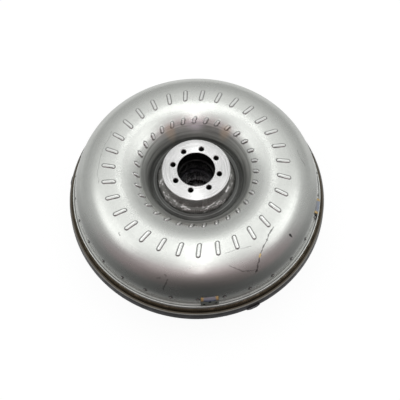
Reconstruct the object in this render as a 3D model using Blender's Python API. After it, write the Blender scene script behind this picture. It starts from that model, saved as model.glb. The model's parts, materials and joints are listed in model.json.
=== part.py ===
"""Torque converter: a welded steel housing round an impeller, a turbine and a stator on a one-way clutch.

Lengths are in metres and angles in radians. +Z is the shaft axis, from the crankshaft side to the
transmission side, and the origin is the centre of the crankshaft pilot's face.
"""

import math

import bmesh
import bpy
from mathutils import Matrix, Vector

# Fits
SEAT_GAP = 0.0003
RUNNING_GAP = 0.0020
CUT = 0.0006

# Front cover, a deep pressed disc that bolts to the engine
PILOT_RADIUS = 0.028
PILOT_HEIGHT = 0.0097
PILOT_CHAMFER = 0.0015
RIM_RADIUS = 0.180
COVER_WALL = 0.005
RIM_DROP = 0.012
COVER_EDGE_INSET = 0.0021
COVER_EDGE_HEIGHT = 0.0125
COVER_SEAT_DEPTH = 0.0088
DISH_END = math.radians(-14.5)
RIM_ROUND = 0.0010
SEAT_WIDTH = 0.0023

# Impeller shell, a pressed dome whose section is a superellipse
SHELL_WALL = 0.0045
SKIRT_INSET = 0.0093
SKIRT_HEIGHT = 0.0201
LEDGE_WIDTH = 0.0044
LEDGE_ROUND = 0.0006
DOME_HALF_HEIGHT = 0.05904
DOME_POWER = 2.57
DOME_RISE = 0.0120
DOME_FIRST = math.radians(7.0)
DOME_LAST = math.radians(155.0)
NECK_HEIGHT = 0.0409
NECK_FLAT = 0.0100
NECK_BLEND = 0.0006

# Impeller blades and the tabs that hold them, which show as bumps on the shell. A tab's place is a share
# of the dome's half width, outwards from the middle of the dome's section
IMPELLER_BLADES = 31
BLADE_PHASE = math.radians(95.2)
BLADE_SWEEP = math.radians(7.0)
BLADE_SWEEP_POWER = 3.5
RIM_TAB_SHARE = 0.968
CROWN_TAB_SHARE = 0.0215
NECK_TAB_SHARE = -0.6445
TAB_HEIGHT = 0.0013
TAB_ROOT = 0.0022
TAB_TOP_SHARE = 0.55
CROWN_TAB_SIZE = (0.0175, 0.0050)
NECK_TAB_SIZE = (0.0085, 0.0045)
RIM_TAB_SIZE = (0.0048, 0.0040)
RIM_TAB_CORNERS = 4
CROWN_TAB_CORNERS = 6
NECK_TAB_CORNERS = 4
BLADE_THICKNESS = 0.0012
BLADE_LAST = math.radians(150.0)

# Impeller hub
HUB_SEAT_RADIUS = 0.050
HUB_SEAT_STEP = 0.0050
HUB_STANDOUT = 0.0253
HUB_NOSE_MARGIN = 0.0030
HUB_CHAMFER = 0.0008
BORE_RADIUS = 0.0248
BORE_DEPTH = 0.018
BORE_STEP = 0.0022
BOLT_HOLES = 8
BOLT_HOLE_INSET = 0.0138
BOLT_HOLE_RADIUS = 0.0034
BOLT_HOLE_DEPTH = 0.015
BOLT_PHASE = math.radians(120.9)
HUB_WELD_WIDTH = 0.0092
HUB_WELD_HEIGHT = 0.0050
SEAM_WELD_WIDTH = 0.0048
SEAM_WELD_HEIGHT = 0.0052
BEAD_FULLNESS = 0.62

# Drive lugs and balance weights
LUGS = 3
LUG_PHASE = math.radians(172.8)
LUG_REACH = 0.0015
LUG_WIDTH = 0.0185
LUG_HEIGHT = 0.0165
LUG_RISE = 0.0035
LUG_LIP = 0.0010
LUG_SHELF = 0.0010
LUG_FOOT = 0.0058
LUG_CHAMFER = 0.005
LUG_END_SHARE = 0.3
WEIGHT_ANGLES = (math.radians(-85.5), math.radians(-15.5))
WEIGHT_LENGTH = 0.025
WEIGHT_HEIGHT = 0.0190
WEIGHT_THICKNESS = 0.0040
WEIGHT_GAP = 0.0005
WEIGHT_DIMPLE_RADIUS = 0.0019
WEIGHT_DIMPLE_DEPTH = 0.0014
WEIGHT_DIMPLES = ((-0.62, 0.25), (0.0, 0.55), (0.62, 0.25))

# Flow circuit between cover and shell
CORE_SHARE = 0.3875
CORE_WALL = 0.0012
TURBINE_FLOOR_GAP = 0.006
SPLIT_GAP = 0.0012

# Turbine
TURBINE_WALL = 0.0025
TURBINE_BLADES = 29
TURBINE_SWEEP = math.radians(-16.0)
TURBINE_SWEEP_POWER = 2.0
TURBINE_BLADE_LAST = math.radians(140.0)
TURBINE_HUB_FLANGE_WIDTH = 0.0183
TURBINE_HUB_FLANGE = 0.0057
TURBINE_HUB_BODY_RADIUS = 0.024
TURBINE_HUB_BOSS_MARGIN = 0.0005
TURBINE_HUB_BOSS_HEIGHT = 0.0043
TURBINE_SPLINE_RADIUS = 0.0152
TURBINE_SPLINE_TEETH = 12
SPLINE_DEPTH = 0.0013
SPLINE_SHAPE = ((0.0, 0.0), (0.42, 0.0), (0.56, 1.0), (0.86, 1.0))
RIVETS = 6
RIVET_RADIUS = 0.0030
RIVET_HEAD_RADIUS = 0.0045
RIVET_HEAD_HEIGHT = 0.0018

# Thrust washer and thrust bearings
WASHER_RADIUS = 0.026
WASHER_THICKNESS = 0.003
BEARING_WIDTH = 0.0110
RACE_THICKNESS = 0.0010
NEEDLE_RADIUS = 0.00125
NEEDLE_LENGTH = 0.0060
NEEDLES = 8
CAGE_THICKNESS = 0.0014

# Stator and its one-way clutch
CLUTCH_WIDTH = 0.024
PLATE_THICKNESS = 0.003
INNER_RACE_RADIUS = 0.026
INNER_RACE_WALL = 0.0045
PLATE_INSET = 0.0035
INNER_SPLINE_TEETH = 16
OUTER_RACE_WIDTH = 0.0160
ROLLERS = 8
ROLLER_RADIUS = 0.0036
POCKET_HALF_ANGLE = math.radians(16.0)
CAM_RISE = 0.0016
LAND_GAP = 0.0005
ROLLER_ANGLE = math.radians(-5.0)
SPRING_LEAVES = 4
SPRING_STRIP = 0.0005
SPRING_MARGIN = 0.003
STATOR_HUB_WALL = 0.0130
STATOR_RING_WALL = 0.004
STATOR_RING_WIDTH = 0.028
STATOR_BLADES = 13
STATOR_BLADE_WIDTH = 0.026
STATOR_NOSE = 0.0065
STATOR_LEAN = math.radians(38.0)
VANE_STATIONS = ((0.0, 0.0), (0.14, 0.9), (0.55, 0.85))
VANE_BALANCE = 0.4
SNAP_RING_THICKNESS = 0.0015
SNAP_RING_DEPTH = 0.0016
SNAP_RING_REACH = 0.0028
SNAP_RING_MOUTH = math.radians(16.0)
STATOR_LIP_REACH = 0.0036
STATOR_LIP = 0.0024

# Facets
RIM_SEGMENTS = 40
TURBINE_SEGMENTS = 26
HUB_SEGMENTS = 24
RING_SEGMENTS = 18
SMALL_SEGMENTS = 8
TINY_SEGMENTS = 6
DOME_POINTS = 10
BLADE_POINTS = 5
DISH_POINTS = 6
TURBINE_POINTS = 5
CORE_POINTS = 4
POCKET_POINTS = 5
WEIGHT_POINTS = 4
WEIGHT_ROWS = 3

# Radii that follow from the sizes above
SKIRT_RADIUS = RIM_RADIUS - SKIRT_INSET
SKIRT_BORE = SKIRT_RADIUS - SHELL_WALL
COVER_BORE = SKIRT_RADIUS + SEAT_GAP
HUB_RADIUS = HUB_SEAT_RADIUS - HUB_SEAT_STEP
NECK_RADIUS = HUB_SEAT_RADIUS + NECK_FLAT
DOME_HALF_WIDTH = (SKIRT_RADIUS - LEDGE_WIDTH - NECK_RADIUS + NECK_BLEND) / 2
DOME_RADIUS = SKIRT_RADIUS - LEDGE_WIDTH - DOME_HALF_WIDTH
RIM_TAB_RADIUS = DOME_RADIUS + RIM_TAB_SHARE * DOME_HALF_WIDTH
CROWN_TAB_RADIUS = DOME_RADIUS + CROWN_TAB_SHARE * DOME_HALF_WIDTH
NECK_TAB_RADIUS = DOME_RADIUS + NECK_TAB_SHARE * DOME_HALF_WIDTH
THROAT_RADIUS = BORE_RADIUS - BORE_STEP
BOLT_CIRCLE_RADIUS = HUB_RADIUS - BOLT_HOLE_INSET
INNER_SPLINE_RADIUS = INNER_RACE_RADIUS - INNER_RACE_WALL
PLATE_INNER_RADIUS = INNER_RACE_RADIUS - PLATE_INSET
OUTER_RACE_RADIUS = INNER_RACE_RADIUS + OUTER_RACE_WIDTH
BEARING_INNER_RADIUS = INNER_RACE_RADIUS
BEARING_OUTER_RADIUS = BEARING_INNER_RADIUS + BEARING_WIDTH
HUB_NOSE_RADIUS = BEARING_OUTER_RADIUS + HUB_NOSE_MARGIN
TURBINE_HUB_BOSS_RADIUS = BEARING_OUTER_RADIUS + TURBINE_HUB_BOSS_MARGIN
TURBINE_HUB_FLANGE_RADIUS = TURBINE_HUB_BOSS_RADIUS + TURBINE_HUB_FLANGE_WIDTH
RIVET_CIRCLE_RADIUS = (TURBINE_HUB_BOSS_RADIUS + TURBINE_HUB_FLANGE_RADIUS) / 2
TURBINE_RADIUS = (SKIRT_BORE - RUNNING_GAP - TURBINE_HUB_FLANGE_RADIUS) / 2
CIRCUIT_RADIUS = TURBINE_HUB_FLANGE_RADIUS + TURBINE_RADIUS
CORE_RADIUS = CORE_SHARE * TURBINE_RADIUS
STATOR_HUB_RADIUS = OUTER_RACE_RADIUS + STATOR_HUB_WALL
STATOR_RING_RADIUS = CIRCUIT_RADIUS - CORE_RADIUS - RUNNING_GAP
STATOR_LIP_RADIUS = OUTER_RACE_RADIUS - STATOR_LIP_REACH
SNAP_RING_INNER_RADIUS = OUTER_RACE_RADIUS - SNAP_RING_REACH
TAB_ROWS = (
    (RIM_TAB_RADIUS, RIM_TAB_SIZE, RIM_TAB_CORNERS),
    (CROWN_TAB_RADIUS, CROWN_TAB_SIZE, CROWN_TAB_CORNERS),
    (NECK_TAB_RADIUS, NECK_TAB_SIZE, NECK_TAB_CORNERS),
)

# Heights that follow, from the pilot's face upwards
COVER_FACE = PILOT_HEIGHT + SEAT_GAP
COVER_FLOOR = COVER_FACE + COVER_WALL
SPLIT = COVER_FLOOR + TURBINE_FLOOR_GAP + TURBINE_RADIUS
RIM_HEIGHT = SPLIT - RIM_DROP
COVER_EDGE = RIM_HEIGHT + COVER_EDGE_HEIGHT
COVER_SEAT = COVER_EDGE - COVER_SEAT_DEPTH
SKIRT_FOOT = COVER_SEAT + SEAT_GAP
LEDGE = SKIRT_FOOT + SKIRT_HEIGHT
DOME_HEIGHT = SKIRT_FOOT + DOME_RISE
NECK_TOP = SKIRT_FOOT + NECK_HEIGHT
NECK_UNDERSIDE = NECK_TOP - SHELL_WALL
HUB_FACE = NECK_TOP + HUB_STANDOUT
CLUTCH_BOTTOM = SPLIT - CLUTCH_WIDTH / 2
CLUTCH_TOP = SPLIT + CLUTCH_WIDTH / 2
PLATE_STEP = SEAT_GAP + PLATE_THICKNESS
BEARING_HEIGHT = 4 * SEAT_GAP + 2 * RACE_THICKNESS + 2 * NEEDLE_RADIUS
TURBINE_THRUST_FACE = CLUTCH_BOTTOM - PLATE_STEP - BEARING_HEIGHT
HUB_THRUST_FACE = CLUTCH_TOP + PLATE_STEP + BEARING_HEIGHT
WASHER_TOP = COVER_FLOOR + SEAT_GAP + WASHER_THICKNESS
TURBINE_FLANGE_TOP = TURBINE_THRUST_FACE - TURBINE_HUB_BOSS_HEIGHT
TURBINE_SHELL_SEAT = TURBINE_FLANGE_TOP + SEAT_GAP


def material(name, colour, metallic, roughness):
    """A plain Principled material."""
    made = bpy.data.materials.new(name)
    made.use_nodes = True
    shader = made.node_tree.nodes["Principled BSDF"]
    shader.inputs["Base Color"].default_value = (*colour, 1.0)
    shader.inputs["Metallic"].default_value = metallic
    shader.inputs["Roughness"].default_value = roughness
    return made


PRESSED_STEEL = ((0.62, 0.61, 0.58), 1.0, 0.30)
DARK_STEEL = ((0.36, 0.36, 0.37), 1.0, 0.40)
TURNED_STEEL = ((0.72, 0.72, 0.70), 1.0, 0.22)
WELD_STEEL = ((0.24, 0.19, 0.14), 0.9, 0.55)
BLADE_STEEL = ((0.50, 0.50, 0.48), 1.0, 0.35)
HARDENED_STEEL = ((0.58, 0.58, 0.60), 1.0, 0.18)
SPRING_STEEL = ((0.30, 0.32, 0.38), 1.0, 0.30)
PHOSPHATED_STEEL = ((0.10, 0.10, 0.11), 0.9, 0.45)
CAST_ALUMINIUM = ((0.70, 0.71, 0.72), 1.0, 0.45)
BRONZE = ((0.62, 0.45, 0.24), 1.0, 0.35)


def add(name, mesh_data, finish, parent=None):
    """Put a bmesh in the scene as a named object, shaded smooth up to a sharp angle."""
    bmesh.ops.remove_doubles(mesh_data, verts=mesh_data.verts, dist=1e-6)
    bmesh.ops.dissolve_degenerate(mesh_data, edges=mesh_data.edges, dist=1e-7)
    bmesh.ops.recalc_face_normals(mesh_data, faces=mesh_data.faces)
    if mesh_data.calc_volume(signed=True) < 0:
        bmesh.ops.reverse_faces(mesh_data, faces=mesh_data.faces)
    mesh = bpy.data.meshes.new(name)
    mesh_data.to_mesh(mesh)
    mesh_data.free()
    mesh.shade_smooth()
    mesh.set_sharp_from_angle(angle=math.radians(32))
    obj = bpy.data.objects.new(name, mesh)
    bpy.context.scene.collection.objects.link(obj)
    if finish:
        mesh.materials.append(material(name + "_finish", *finish))
    if parent:
        obj.parent = parent
    return obj


def axis_empty(name, height):
    """An empty on the shaft axis that carries one turning body."""
    empty = bpy.data.objects.new(name, None)
    empty.location = (0, 0, height)
    bpy.context.scene.collection.objects.link(empty)
    return empty


def lowered(mesh_data, height):
    """Shift a mesh down, so that it can hang on an empty at that height."""
    bmesh.ops.translate(mesh_data, verts=mesh_data.verts, vec=(0, 0, -height))
    return mesh_data


def at_angle(radius, angle, height):
    return Vector((radius * math.cos(angle), radius * math.sin(angle), height))


def turned(profile, segments, start=0.0):
    """Spin an outline of (radius, height) points about Z. One that begins on the axis stays open there."""
    mesh_data = bmesh.new()
    points = [mesh_data.verts.new(at_angle(radius, start, height)) for radius, height in profile]
    edges = [mesh_data.edges.new(pair) for pair in zip(points, points[1:])]
    if profile[0][0] > 0 or profile[-1][0] > 0:
        edges.append(mesh_data.edges.new((points[-1], points[0])))
    bmesh.ops.spin(
        mesh_data, geom=points + edges, cent=(0, 0, 0), axis=(0, 0, 1),
        angle=2 * math.pi, steps=segments, use_merge=True)
    return mesh_data


def ring(inner, outer, bottom, top, segments):
    """A plain flat ring."""
    return turned([(outer, top), (outer, bottom), (inner, bottom), (inner, top)], segments)


def extruded(loops, bottom, top):
    """Fill flat loops of (x, y) points, the first the outline and the rest holes, and pull them up."""
    mesh_data = bmesh.new()
    edges = []
    for loop in loops:
        points = [mesh_data.verts.new((x, y, bottom)) for x, y in loop]
        edges += [mesh_data.edges.new(pair) for pair in zip(points, points[1:] + points[:1])]
    filled = bmesh.ops.triangle_fill(mesh_data, edges=edges, use_beauty=True)
    faces = [face for face in filled["geom"] if isinstance(face, bmesh.types.BMFace)]
    pulled = bmesh.ops.extrude_face_region(mesh_data, geom=faces, use_keep_orig=True)
    upper = [point for point in pulled["geom"] if isinstance(point, bmesh.types.BMVert)]
    bmesh.ops.translate(mesh_data, verts=upper, vec=(0, 0, top - bottom))
    return mesh_data


def circle(radius, segments):
    """Points of a circle."""
    return [at_angle(radius, 2 * math.pi * step / segments, 0).xy for step in range(segments)]


def spline_outline(root_radius, depth, teeth):
    """The outline of a splined bore: flat-topped teeth that reach inwards from the root circle."""
    outline = []
    pitch = 2 * math.pi / teeth
    for tooth in range(teeth):
        for share, rise in SPLINE_SHAPE:
            turn = (tooth + share) * pitch
            outline.append(at_angle(root_radius - rise * depth, turn, 0).xy)
    return outline


def boolean(obj, tool, operation):
    """Join or cut with a helper object that is left out of the render."""
    tool.hide_render = True
    tool.display_type = "WIRE"
    modifier = obj.modifiers.new(operation.title(), "BOOLEAN")
    modifier.operation = operation
    modifier.solver = "EXACT"
    modifier.object = tool


def joined(parts):
    """One mesh that holds several separate meshes."""
    whole = bmesh.new()
    for part in parts:
        mesh = bpy.data.meshes.new("part")
        part.to_mesh(mesh)
        part.free()
        whole.from_mesh(mesh)
        bpy.data.meshes.remove(mesh)
    return whole


def dome_point(turn, depth):
    """(radius, height) on the dome's section, at a depth below its outer face."""
    across = math.copysign(abs(math.cos(turn)) ** (2 / DOME_POWER), math.cos(turn))
    up = abs(math.sin(turn)) ** (2 / DOME_POWER)
    slope = Vector((
        math.copysign(abs(across) ** (DOME_POWER - 1), across) / DOME_HALF_WIDTH,
        up ** (DOME_POWER - 1) / DOME_HALF_HEIGHT)).normalized()
    return (
        DOME_RADIUS + DOME_HALF_WIDTH * across - depth * slope.x,
        DOME_HEIGHT + DOME_HALF_HEIGHT * up - depth * slope.y)


def dome_turn(radius):
    """The dome's section angle at a radius."""
    across = (radius - DOME_RADIUS) / DOME_HALF_WIDTH
    return math.acos(math.copysign(abs(across) ** (DOME_POWER / 2), across))


def dome_turn_at(height):
    """The dome's section angle at a height on its rim side."""
    up = (height - DOME_HEIGHT) / DOME_HALF_HEIGHT
    return math.asin(up ** (DOME_POWER / 2))


def evenly(first, last, count):
    return [first + (last - first) * step / (count - 1) for step in range(count)]


def sweep_angle(radius, sweep, power):
    """How far a blade has turned at a radius, from nothing at the rim to its whole sweep at the neck."""
    share = (RIM_TAB_RADIUS - radius) / (RIM_TAB_RADIUS - NECK_TAB_RADIUS)
    return sweep * max(share, 0.0) ** power


def impeller_sweep(radius):
    return sweep_angle(radius, BLADE_SWEEP, BLADE_SWEEP_POWER)


def turbine_sweep(radius):
    return sweep_angle(radius, TURBINE_SWEEP, TURBINE_SWEEP_POWER)


def arc(centre, radius, first, last, count):
    """Points of an arc in the (radius, height) section."""
    return [
        (centre[0] + radius * math.cos(turn), centre[1] + radius * math.sin(turn))
        for turn in evenly(first, last, count)
    ]


def clear_bore(radius, segments):
    """The corner radius of a faceted bore whose flats clear a round piece by the seat gap."""
    return (radius + SEAT_GAP) / math.cos(math.pi / segments)


def facet_gap(radius, segments):
    """The seat gap, plus what the flats of a faceted bore come inside its true circle."""
    return SEAT_GAP + radius * (1 - math.cos(math.pi / segments))


def blade_turns():
    """Section angles where the impeller blades' edge and the shell's inner face have their corners."""
    return evenly(DOME_FIRST, BLADE_LAST, BLADE_POINTS)


def pegs(places, radius, bottom, top, segments):
    """Upright round cutters at (radius, angle) places, as one mesh."""
    made = []
    for out, turn in places:
        peg = turned([(0, top), (radius, top), (radius, bottom), (0, bottom)], segments)
        bmesh.ops.translate(peg, verts=peg.verts, vec=at_angle(out, turn, 0))
        made.append(peg)
    return joined(made)


def lofted(sections):
    """Skin a row of closed sections that have the same number of points, and cap both ends."""
    mesh_data = bmesh.new()
    loops = [[mesh_data.verts.new(point) for point in section] for section in sections]
    for near, far in zip(loops, loops[1:]):
        for index in range(len(near)):
            follow = (index + 1) % len(near)
            mesh_data.faces.new((near[index], near[follow], far[follow], far[index]))
    mesh_data.faces.new(loops[0])
    mesh_data.faces.new(loops[-1][::-1])
    return mesh_data


def build_front_cover():
    """A dished disc with a thick skirt, and a seat inside it for the shell."""
    centre = (CIRCUIT_RADIUS, SPLIT)
    dish = SPLIT - COVER_FACE
    inner_dish = dish - COVER_WALL
    seat_bore = SKIRT_RADIUS - SEAT_WIDTH
    skirt_turn = -math.acos((seat_bore - CIRCUIT_RADIUS) / inner_dish)
    profile = [(0, COVER_FACE)]
    profile += arc(centre, dish, -math.pi / 2, DISH_END, DISH_POINTS)
    profile += [
        (RIM_RADIUS - RIM_ROUND, RIM_HEIGHT - RIM_ROUND),
        (RIM_RADIUS, RIM_HEIGHT),
        (RIM_RADIUS - COVER_EDGE_INSET, COVER_EDGE),
        (COVER_BORE, COVER_EDGE),
        (COVER_BORE, COVER_SEAT),
        (seat_bore, COVER_SEAT),
    ]
    profile += arc(centre, inner_dish, skirt_turn, -math.pi / 2, DISH_POINTS - 1)
    profile.append((0, COVER_FLOOR))
    return add("front_cover", turned(profile, RIM_SEGMENTS), DARK_STEEL)


def build_pilot_boss():
    profile = [
        (0, PILOT_HEIGHT),
        (PILOT_RADIUS, PILOT_HEIGHT),
        (PILOT_RADIUS, PILOT_CHAMFER),
        (PILOT_RADIUS - PILOT_CHAMFER, 0),
        (0, 0),
    ]
    return add("pilot_boss", turned(profile, HUB_SEGMENTS), TURNED_STEEL)


def tab(radius, size, corners, angle):
    """A raised oval on the dome, turned to lie along its blade."""
    length, width = size
    turn = dome_turn(radius)
    out, height = dome_point(turn, 0)
    below = Vector(dome_point(turn, TAB_ROOT))
    normal = (Vector((out, height)) - below).normalized()
    lean = radius * (impeller_sweep(radius + CUT) - impeller_sweep(radius)) / CUT
    place = at_angle(out, angle, height)
    radial = at_angle(1, angle, 0)
    up = radial * normal.x + Vector((0, 0, normal.y))
    around = Vector((0, 0, 1)).cross(radial)
    outward = around.cross(up)
    along = (outward + around * lean * normal.y).normalized()
    side = up.cross(along)
    first_corner = 0.5 if corners == 4 else 0.0
    straight = length - width
    spread = 1 - TAB_TOP_SHARE
    sections = []
    for rise in (-TAB_ROOT, TAB_HEIGHT):
        share = 1 - spread * rise / TAB_HEIGHT
        half = width / 2 * share
        section = []
        for corner in range(corners):
            direction = 2 * math.pi * (corner + first_corner) / corners
            reach = math.copysign(straight / 2, math.cos(direction))
            section.append(
                place + up * rise
                + along * (reach + half * math.cos(direction))
                + side * half * math.sin(direction))
        sections.append(section)
    return lofted(sections)


def build_impeller_shell():
    """The dome with its ledge and skirt, a flat neck for the hub, and the tab bumps."""
    neck_bore = clear_bore(HUB_SEAT_RADIUS, RIM_SEGMENTS)
    first = dome_point(DOME_FIRST, 0)
    first_inner = dome_point(DOME_FIRST, SHELL_WALL)
    profile = [
        (SKIRT_RADIUS, SKIRT_FOOT),
        (SKIRT_RADIUS, LEDGE - LEDGE_ROUND),
        (SKIRT_RADIUS - LEDGE_ROUND, LEDGE),
        (first[0] + LEDGE_ROUND, LEDGE),
    ]
    profile += [dome_point(turn, 0) for turn in evenly(DOME_FIRST, DOME_LAST, DOME_POINTS)]
    profile += [
        (NECK_RADIUS, NECK_TOP),
        (neck_bore, NECK_TOP),
        (neck_bore, NECK_UNDERSIDE),
        (NECK_RADIUS + SHELL_WALL / 2, NECK_UNDERSIDE),
    ]
    profile += [dome_point(turn, SHELL_WALL) for turn in blade_turns()[::-1]]
    profile += [
        (first_inner[0], LEDGE - SHELL_WALL),
        (SKIRT_BORE, LEDGE - SHELL_WALL),
        (SKIRT_BORE, SKIRT_FOOT),
    ]
    shell = add("impeller_shell", turned(profile, RIM_SEGMENTS), PRESSED_STEEL)
    tabs = []
    for blade in range(IMPELLER_BLADES):
        angle = BLADE_PHASE + 2 * math.pi * blade / IMPELLER_BLADES
        for radius, size, corners in TAB_ROWS:
            tabs.append(tab(radius, size, corners, angle + impeller_sweep(radius)))
    boolean(shell, add("tab_tool", joined(tabs), None), "UNION")
    return shell


def bladed_ring(count, phase, sweep, core, wall, lining):
    """A core ring with sheet blades that stand on it, as one piece.

    Each argument after the sweep is a row of (radius, height) points from the rim side to the neck:
    the ring's outer face, the blades' outer edge, and the ring's inner face.
    """
    mesh_data = bmesh.new()
    pitch = 2 * math.pi / count
    last = len(wall) - 1

    def column(row, blade, side):
        made = []
        for radius, height in row:
            angle = phase + blade * pitch + sweep(radius) + side * BLADE_THICKNESS / 2 / radius
            made.append(mesh_data.verts.new(at_angle(radius, angle, height)))
        return made

    core_left = [column(core, blade, -1) for blade in range(count)]
    core_right = [column(core, blade, 1) for blade in range(count)]
    wall_left = [column(wall, blade, -1) for blade in range(count)]
    wall_right = [column(wall, blade, 1) for blade in range(count)]
    inside = [column(lining, blade, 0) for blade in range(count)]

    def strip(first, second, start, end):
        for index in range(start, end):
            mesh_data.faces.new((first[index], first[index + 1], second[index + 1], second[index]))

    for blade in range(count):
        follow = (blade + 1) % count
        strip(core_left[blade], wall_left[blade], 0, last)
        strip(wall_left[blade], wall_right[blade], 0, last)
        strip(wall_right[blade], core_right[blade], 0, last)
        for end in (0, last):
            mesh_data.faces.new((
                core_left[blade][end], wall_left[blade][end],
                wall_right[blade][end], core_right[blade][end]))
        strip(core_left[blade], core_right[blade], last, len(core) - 1)
        strip(core_right[blade], core_left[follow], 0, len(core) - 1)
        strip(inside[blade], inside[follow], 0, len(lining) - 1)
        for end in (0, -1):
            mesh_data.faces.new((core_left[blade][end], core_right[blade][end], inside[blade][end]))
            mesh_data.faces.new((
                core_right[blade][end], core_left[follow][end],
                inside[follow][end], inside[blade][end]))
    return mesh_data


def build_impeller_blades():
    """31 swept blades whose outer edge follows the shell."""
    depth = SHELL_WALL + facet_gap(RIM_TAB_RADIUS, RIM_SEGMENTS)
    edge = [dome_point(turn, depth) for turn in blade_turns()]
    centre = (CIRCUIT_RADIUS, SPLIT + SPLIT_GAP)
    wall = [(edge[0][0], centre[1])] + edge
    core = arc(centre, CORE_RADIUS, 0, BLADE_LAST, len(wall))
    core.append((CIRCUIT_RADIUS - CORE_RADIUS, centre[1]))
    lining = arc(centre, CORE_RADIUS - CORE_WALL, 0, math.pi, CORE_POINTS)
    ring_mesh = bladed_ring(IMPELLER_BLADES, BLADE_PHASE, impeller_sweep, core, wall, lining)
    return add("impeller_blades", ring_mesh, BLADE_STEEL)


def build_impeller_hub():
    """A turned flange with a stepped bore, and tapped holes in its face."""
    throat_top = HUB_FACE - BORE_DEPTH
    profile = [
        (HUB_RADIUS - HUB_CHAMFER, HUB_FACE),
        (HUB_RADIUS, HUB_FACE - HUB_CHAMFER),
        (HUB_RADIUS, NECK_TOP),
        (HUB_SEAT_RADIUS, NECK_TOP),
        (HUB_SEAT_RADIUS, NECK_UNDERSIDE),
        (HUB_NOSE_RADIUS, NECK_UNDERSIDE),
        (HUB_NOSE_RADIUS, HUB_THRUST_FACE),
        (THROAT_RADIUS, HUB_THRUST_FACE),
        (THROAT_RADIUS, throat_top),
        (BORE_RADIUS, throat_top),
        (BORE_RADIUS, HUB_FACE - HUB_CHAMFER),
        (BORE_RADIUS + HUB_CHAMFER, HUB_FACE),
    ]
    hub = add("impeller_hub", turned(profile, HUB_SEGMENTS), TURNED_STEEL)
    places = [
        (BOLT_CIRCLE_RADIUS, BOLT_PHASE + 2 * math.pi * hole / BOLT_HOLES)
        for hole in range(BOLT_HOLES)
    ]
    holes = pegs(places, BOLT_HOLE_RADIUS, HUB_FACE - BOLT_HOLE_DEPTH, HUB_FACE + CUT, SMALL_SEGMENTS)
    boolean(hub, add("bolt_hole_tool", holes, None), "DIFFERENCE")
    return hub


def bead(name, radius, foot, width, height, segments):
    """A fillet weld round the axis, with a slightly full face."""
    profile = [
        (radius, foot),
        (radius, foot + height),
        (radius + width * BEAD_FULLNESS, foot + height * BEAD_FULLNESS),
        (radius + width, foot),
    ]
    return add(name, turned(profile, segments), WELD_STEEL)


def build_drive_lug(name, angle):
    """A block on the cover's rim, with slanted ends."""
    dish = SPLIT - COVER_FACE
    foot = RIM_HEIGHT + LUG_RISE - LUG_HEIGHT
    rest = CIRCUIT_RADIUS + (dish + SEAT_GAP) * math.cos(math.asin((SPLIT - foot) / dish))
    inner = RIM_RADIUS + SEAT_GAP
    shelf = CIRCUIT_RADIUS + dish * math.cos(DISH_END) + LUG_SHELF
    sections = []
    half = LUG_WIDTH / 2 / RIM_RADIUS
    chamfer = LUG_CHAMFER / RIM_RADIUS
    ends = ((-half, LUG_END_SHARE), (chamfer - half, 1.0), (half - chamfer, 1.0), (half, LUG_END_SHARE))
    for offset, share in ends:
        outer = inner + LUG_REACH * share
        outline = [
            (inner, RIM_HEIGHT + LUG_RISE),
            (outer, RIM_HEIGHT + LUG_RISE),
            (outer, RIM_HEIGHT - LUG_LIP),
            (rest + LUG_FOOT, foot),
            (rest, foot),
            (shelf, SPLIT + dish * math.sin(DISH_END)),
            (inner, RIM_HEIGHT - LUG_SHELF),
        ]
        sections.append([at_angle(radius, angle + offset, height) for radius, height in outline])
    return add(name, lofted(sections), DARK_STEEL)


def build_balance_weight(name, angle):
    """A plate bent to the dome's side and welded there above the ledge, with three dimples in its face."""
    foot = LEDGE + SEAT_GAP
    depth = -WEIGHT_GAP
    turns = evenly(dome_turn_at(foot), dome_turn_at(foot + WEIGHT_HEIGHT), WEIGHT_ROWS)
    outline = [dome_point(turn, depth) for turn in turns]
    outline += [dome_point(turn, depth - WEIGHT_THICKNESS) for turn in turns[::-1]]
    half = WEIGHT_LENGTH / 2 / SKIRT_RADIUS
    sections = []
    for offset in evenly(-half, half, WEIGHT_POINTS):
        sections.append([at_angle(radius, angle + offset, height) for radius, height in outline])
    weight = add(name, lofted(sections), WELD_STEEL)
    dimples = []
    cone_height = WEIGHT_DIMPLE_DEPTH + CUT
    for along, up in WEIGHT_DIMPLES:
        turn = dome_turn_at(foot + up * WEIGHT_HEIGHT)
        tip = dome_point(turn, depth - WEIGHT_THICKNESS + WEIGHT_DIMPLE_DEPTH)
        face = dome_point(turn, depth - WEIGHT_THICKNESS)
        lean = math.atan2(face[0] - tip[0], face[1] - tip[1])
        offset = angle + along * half
        cone = turned([(0, 0), (WEIGHT_DIMPLE_RADIUS, cone_height), (0, cone_height)], TINY_SEGMENTS)
        tilt = Matrix.Rotation(offset, 4, "Z") @ Matrix.Rotation(lean, 4, "Y")
        bmesh.ops.transform(cone, matrix=tilt, verts=cone.verts)
        bmesh.ops.translate(cone, verts=cone.verts, vec=at_angle(tip[0], offset, tip[1]))
        dimples.append(cone)
    boolean(weight, add(name + "_dimple_tool", joined(dimples), None), "DIFFERENCE")
    return weight


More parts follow.
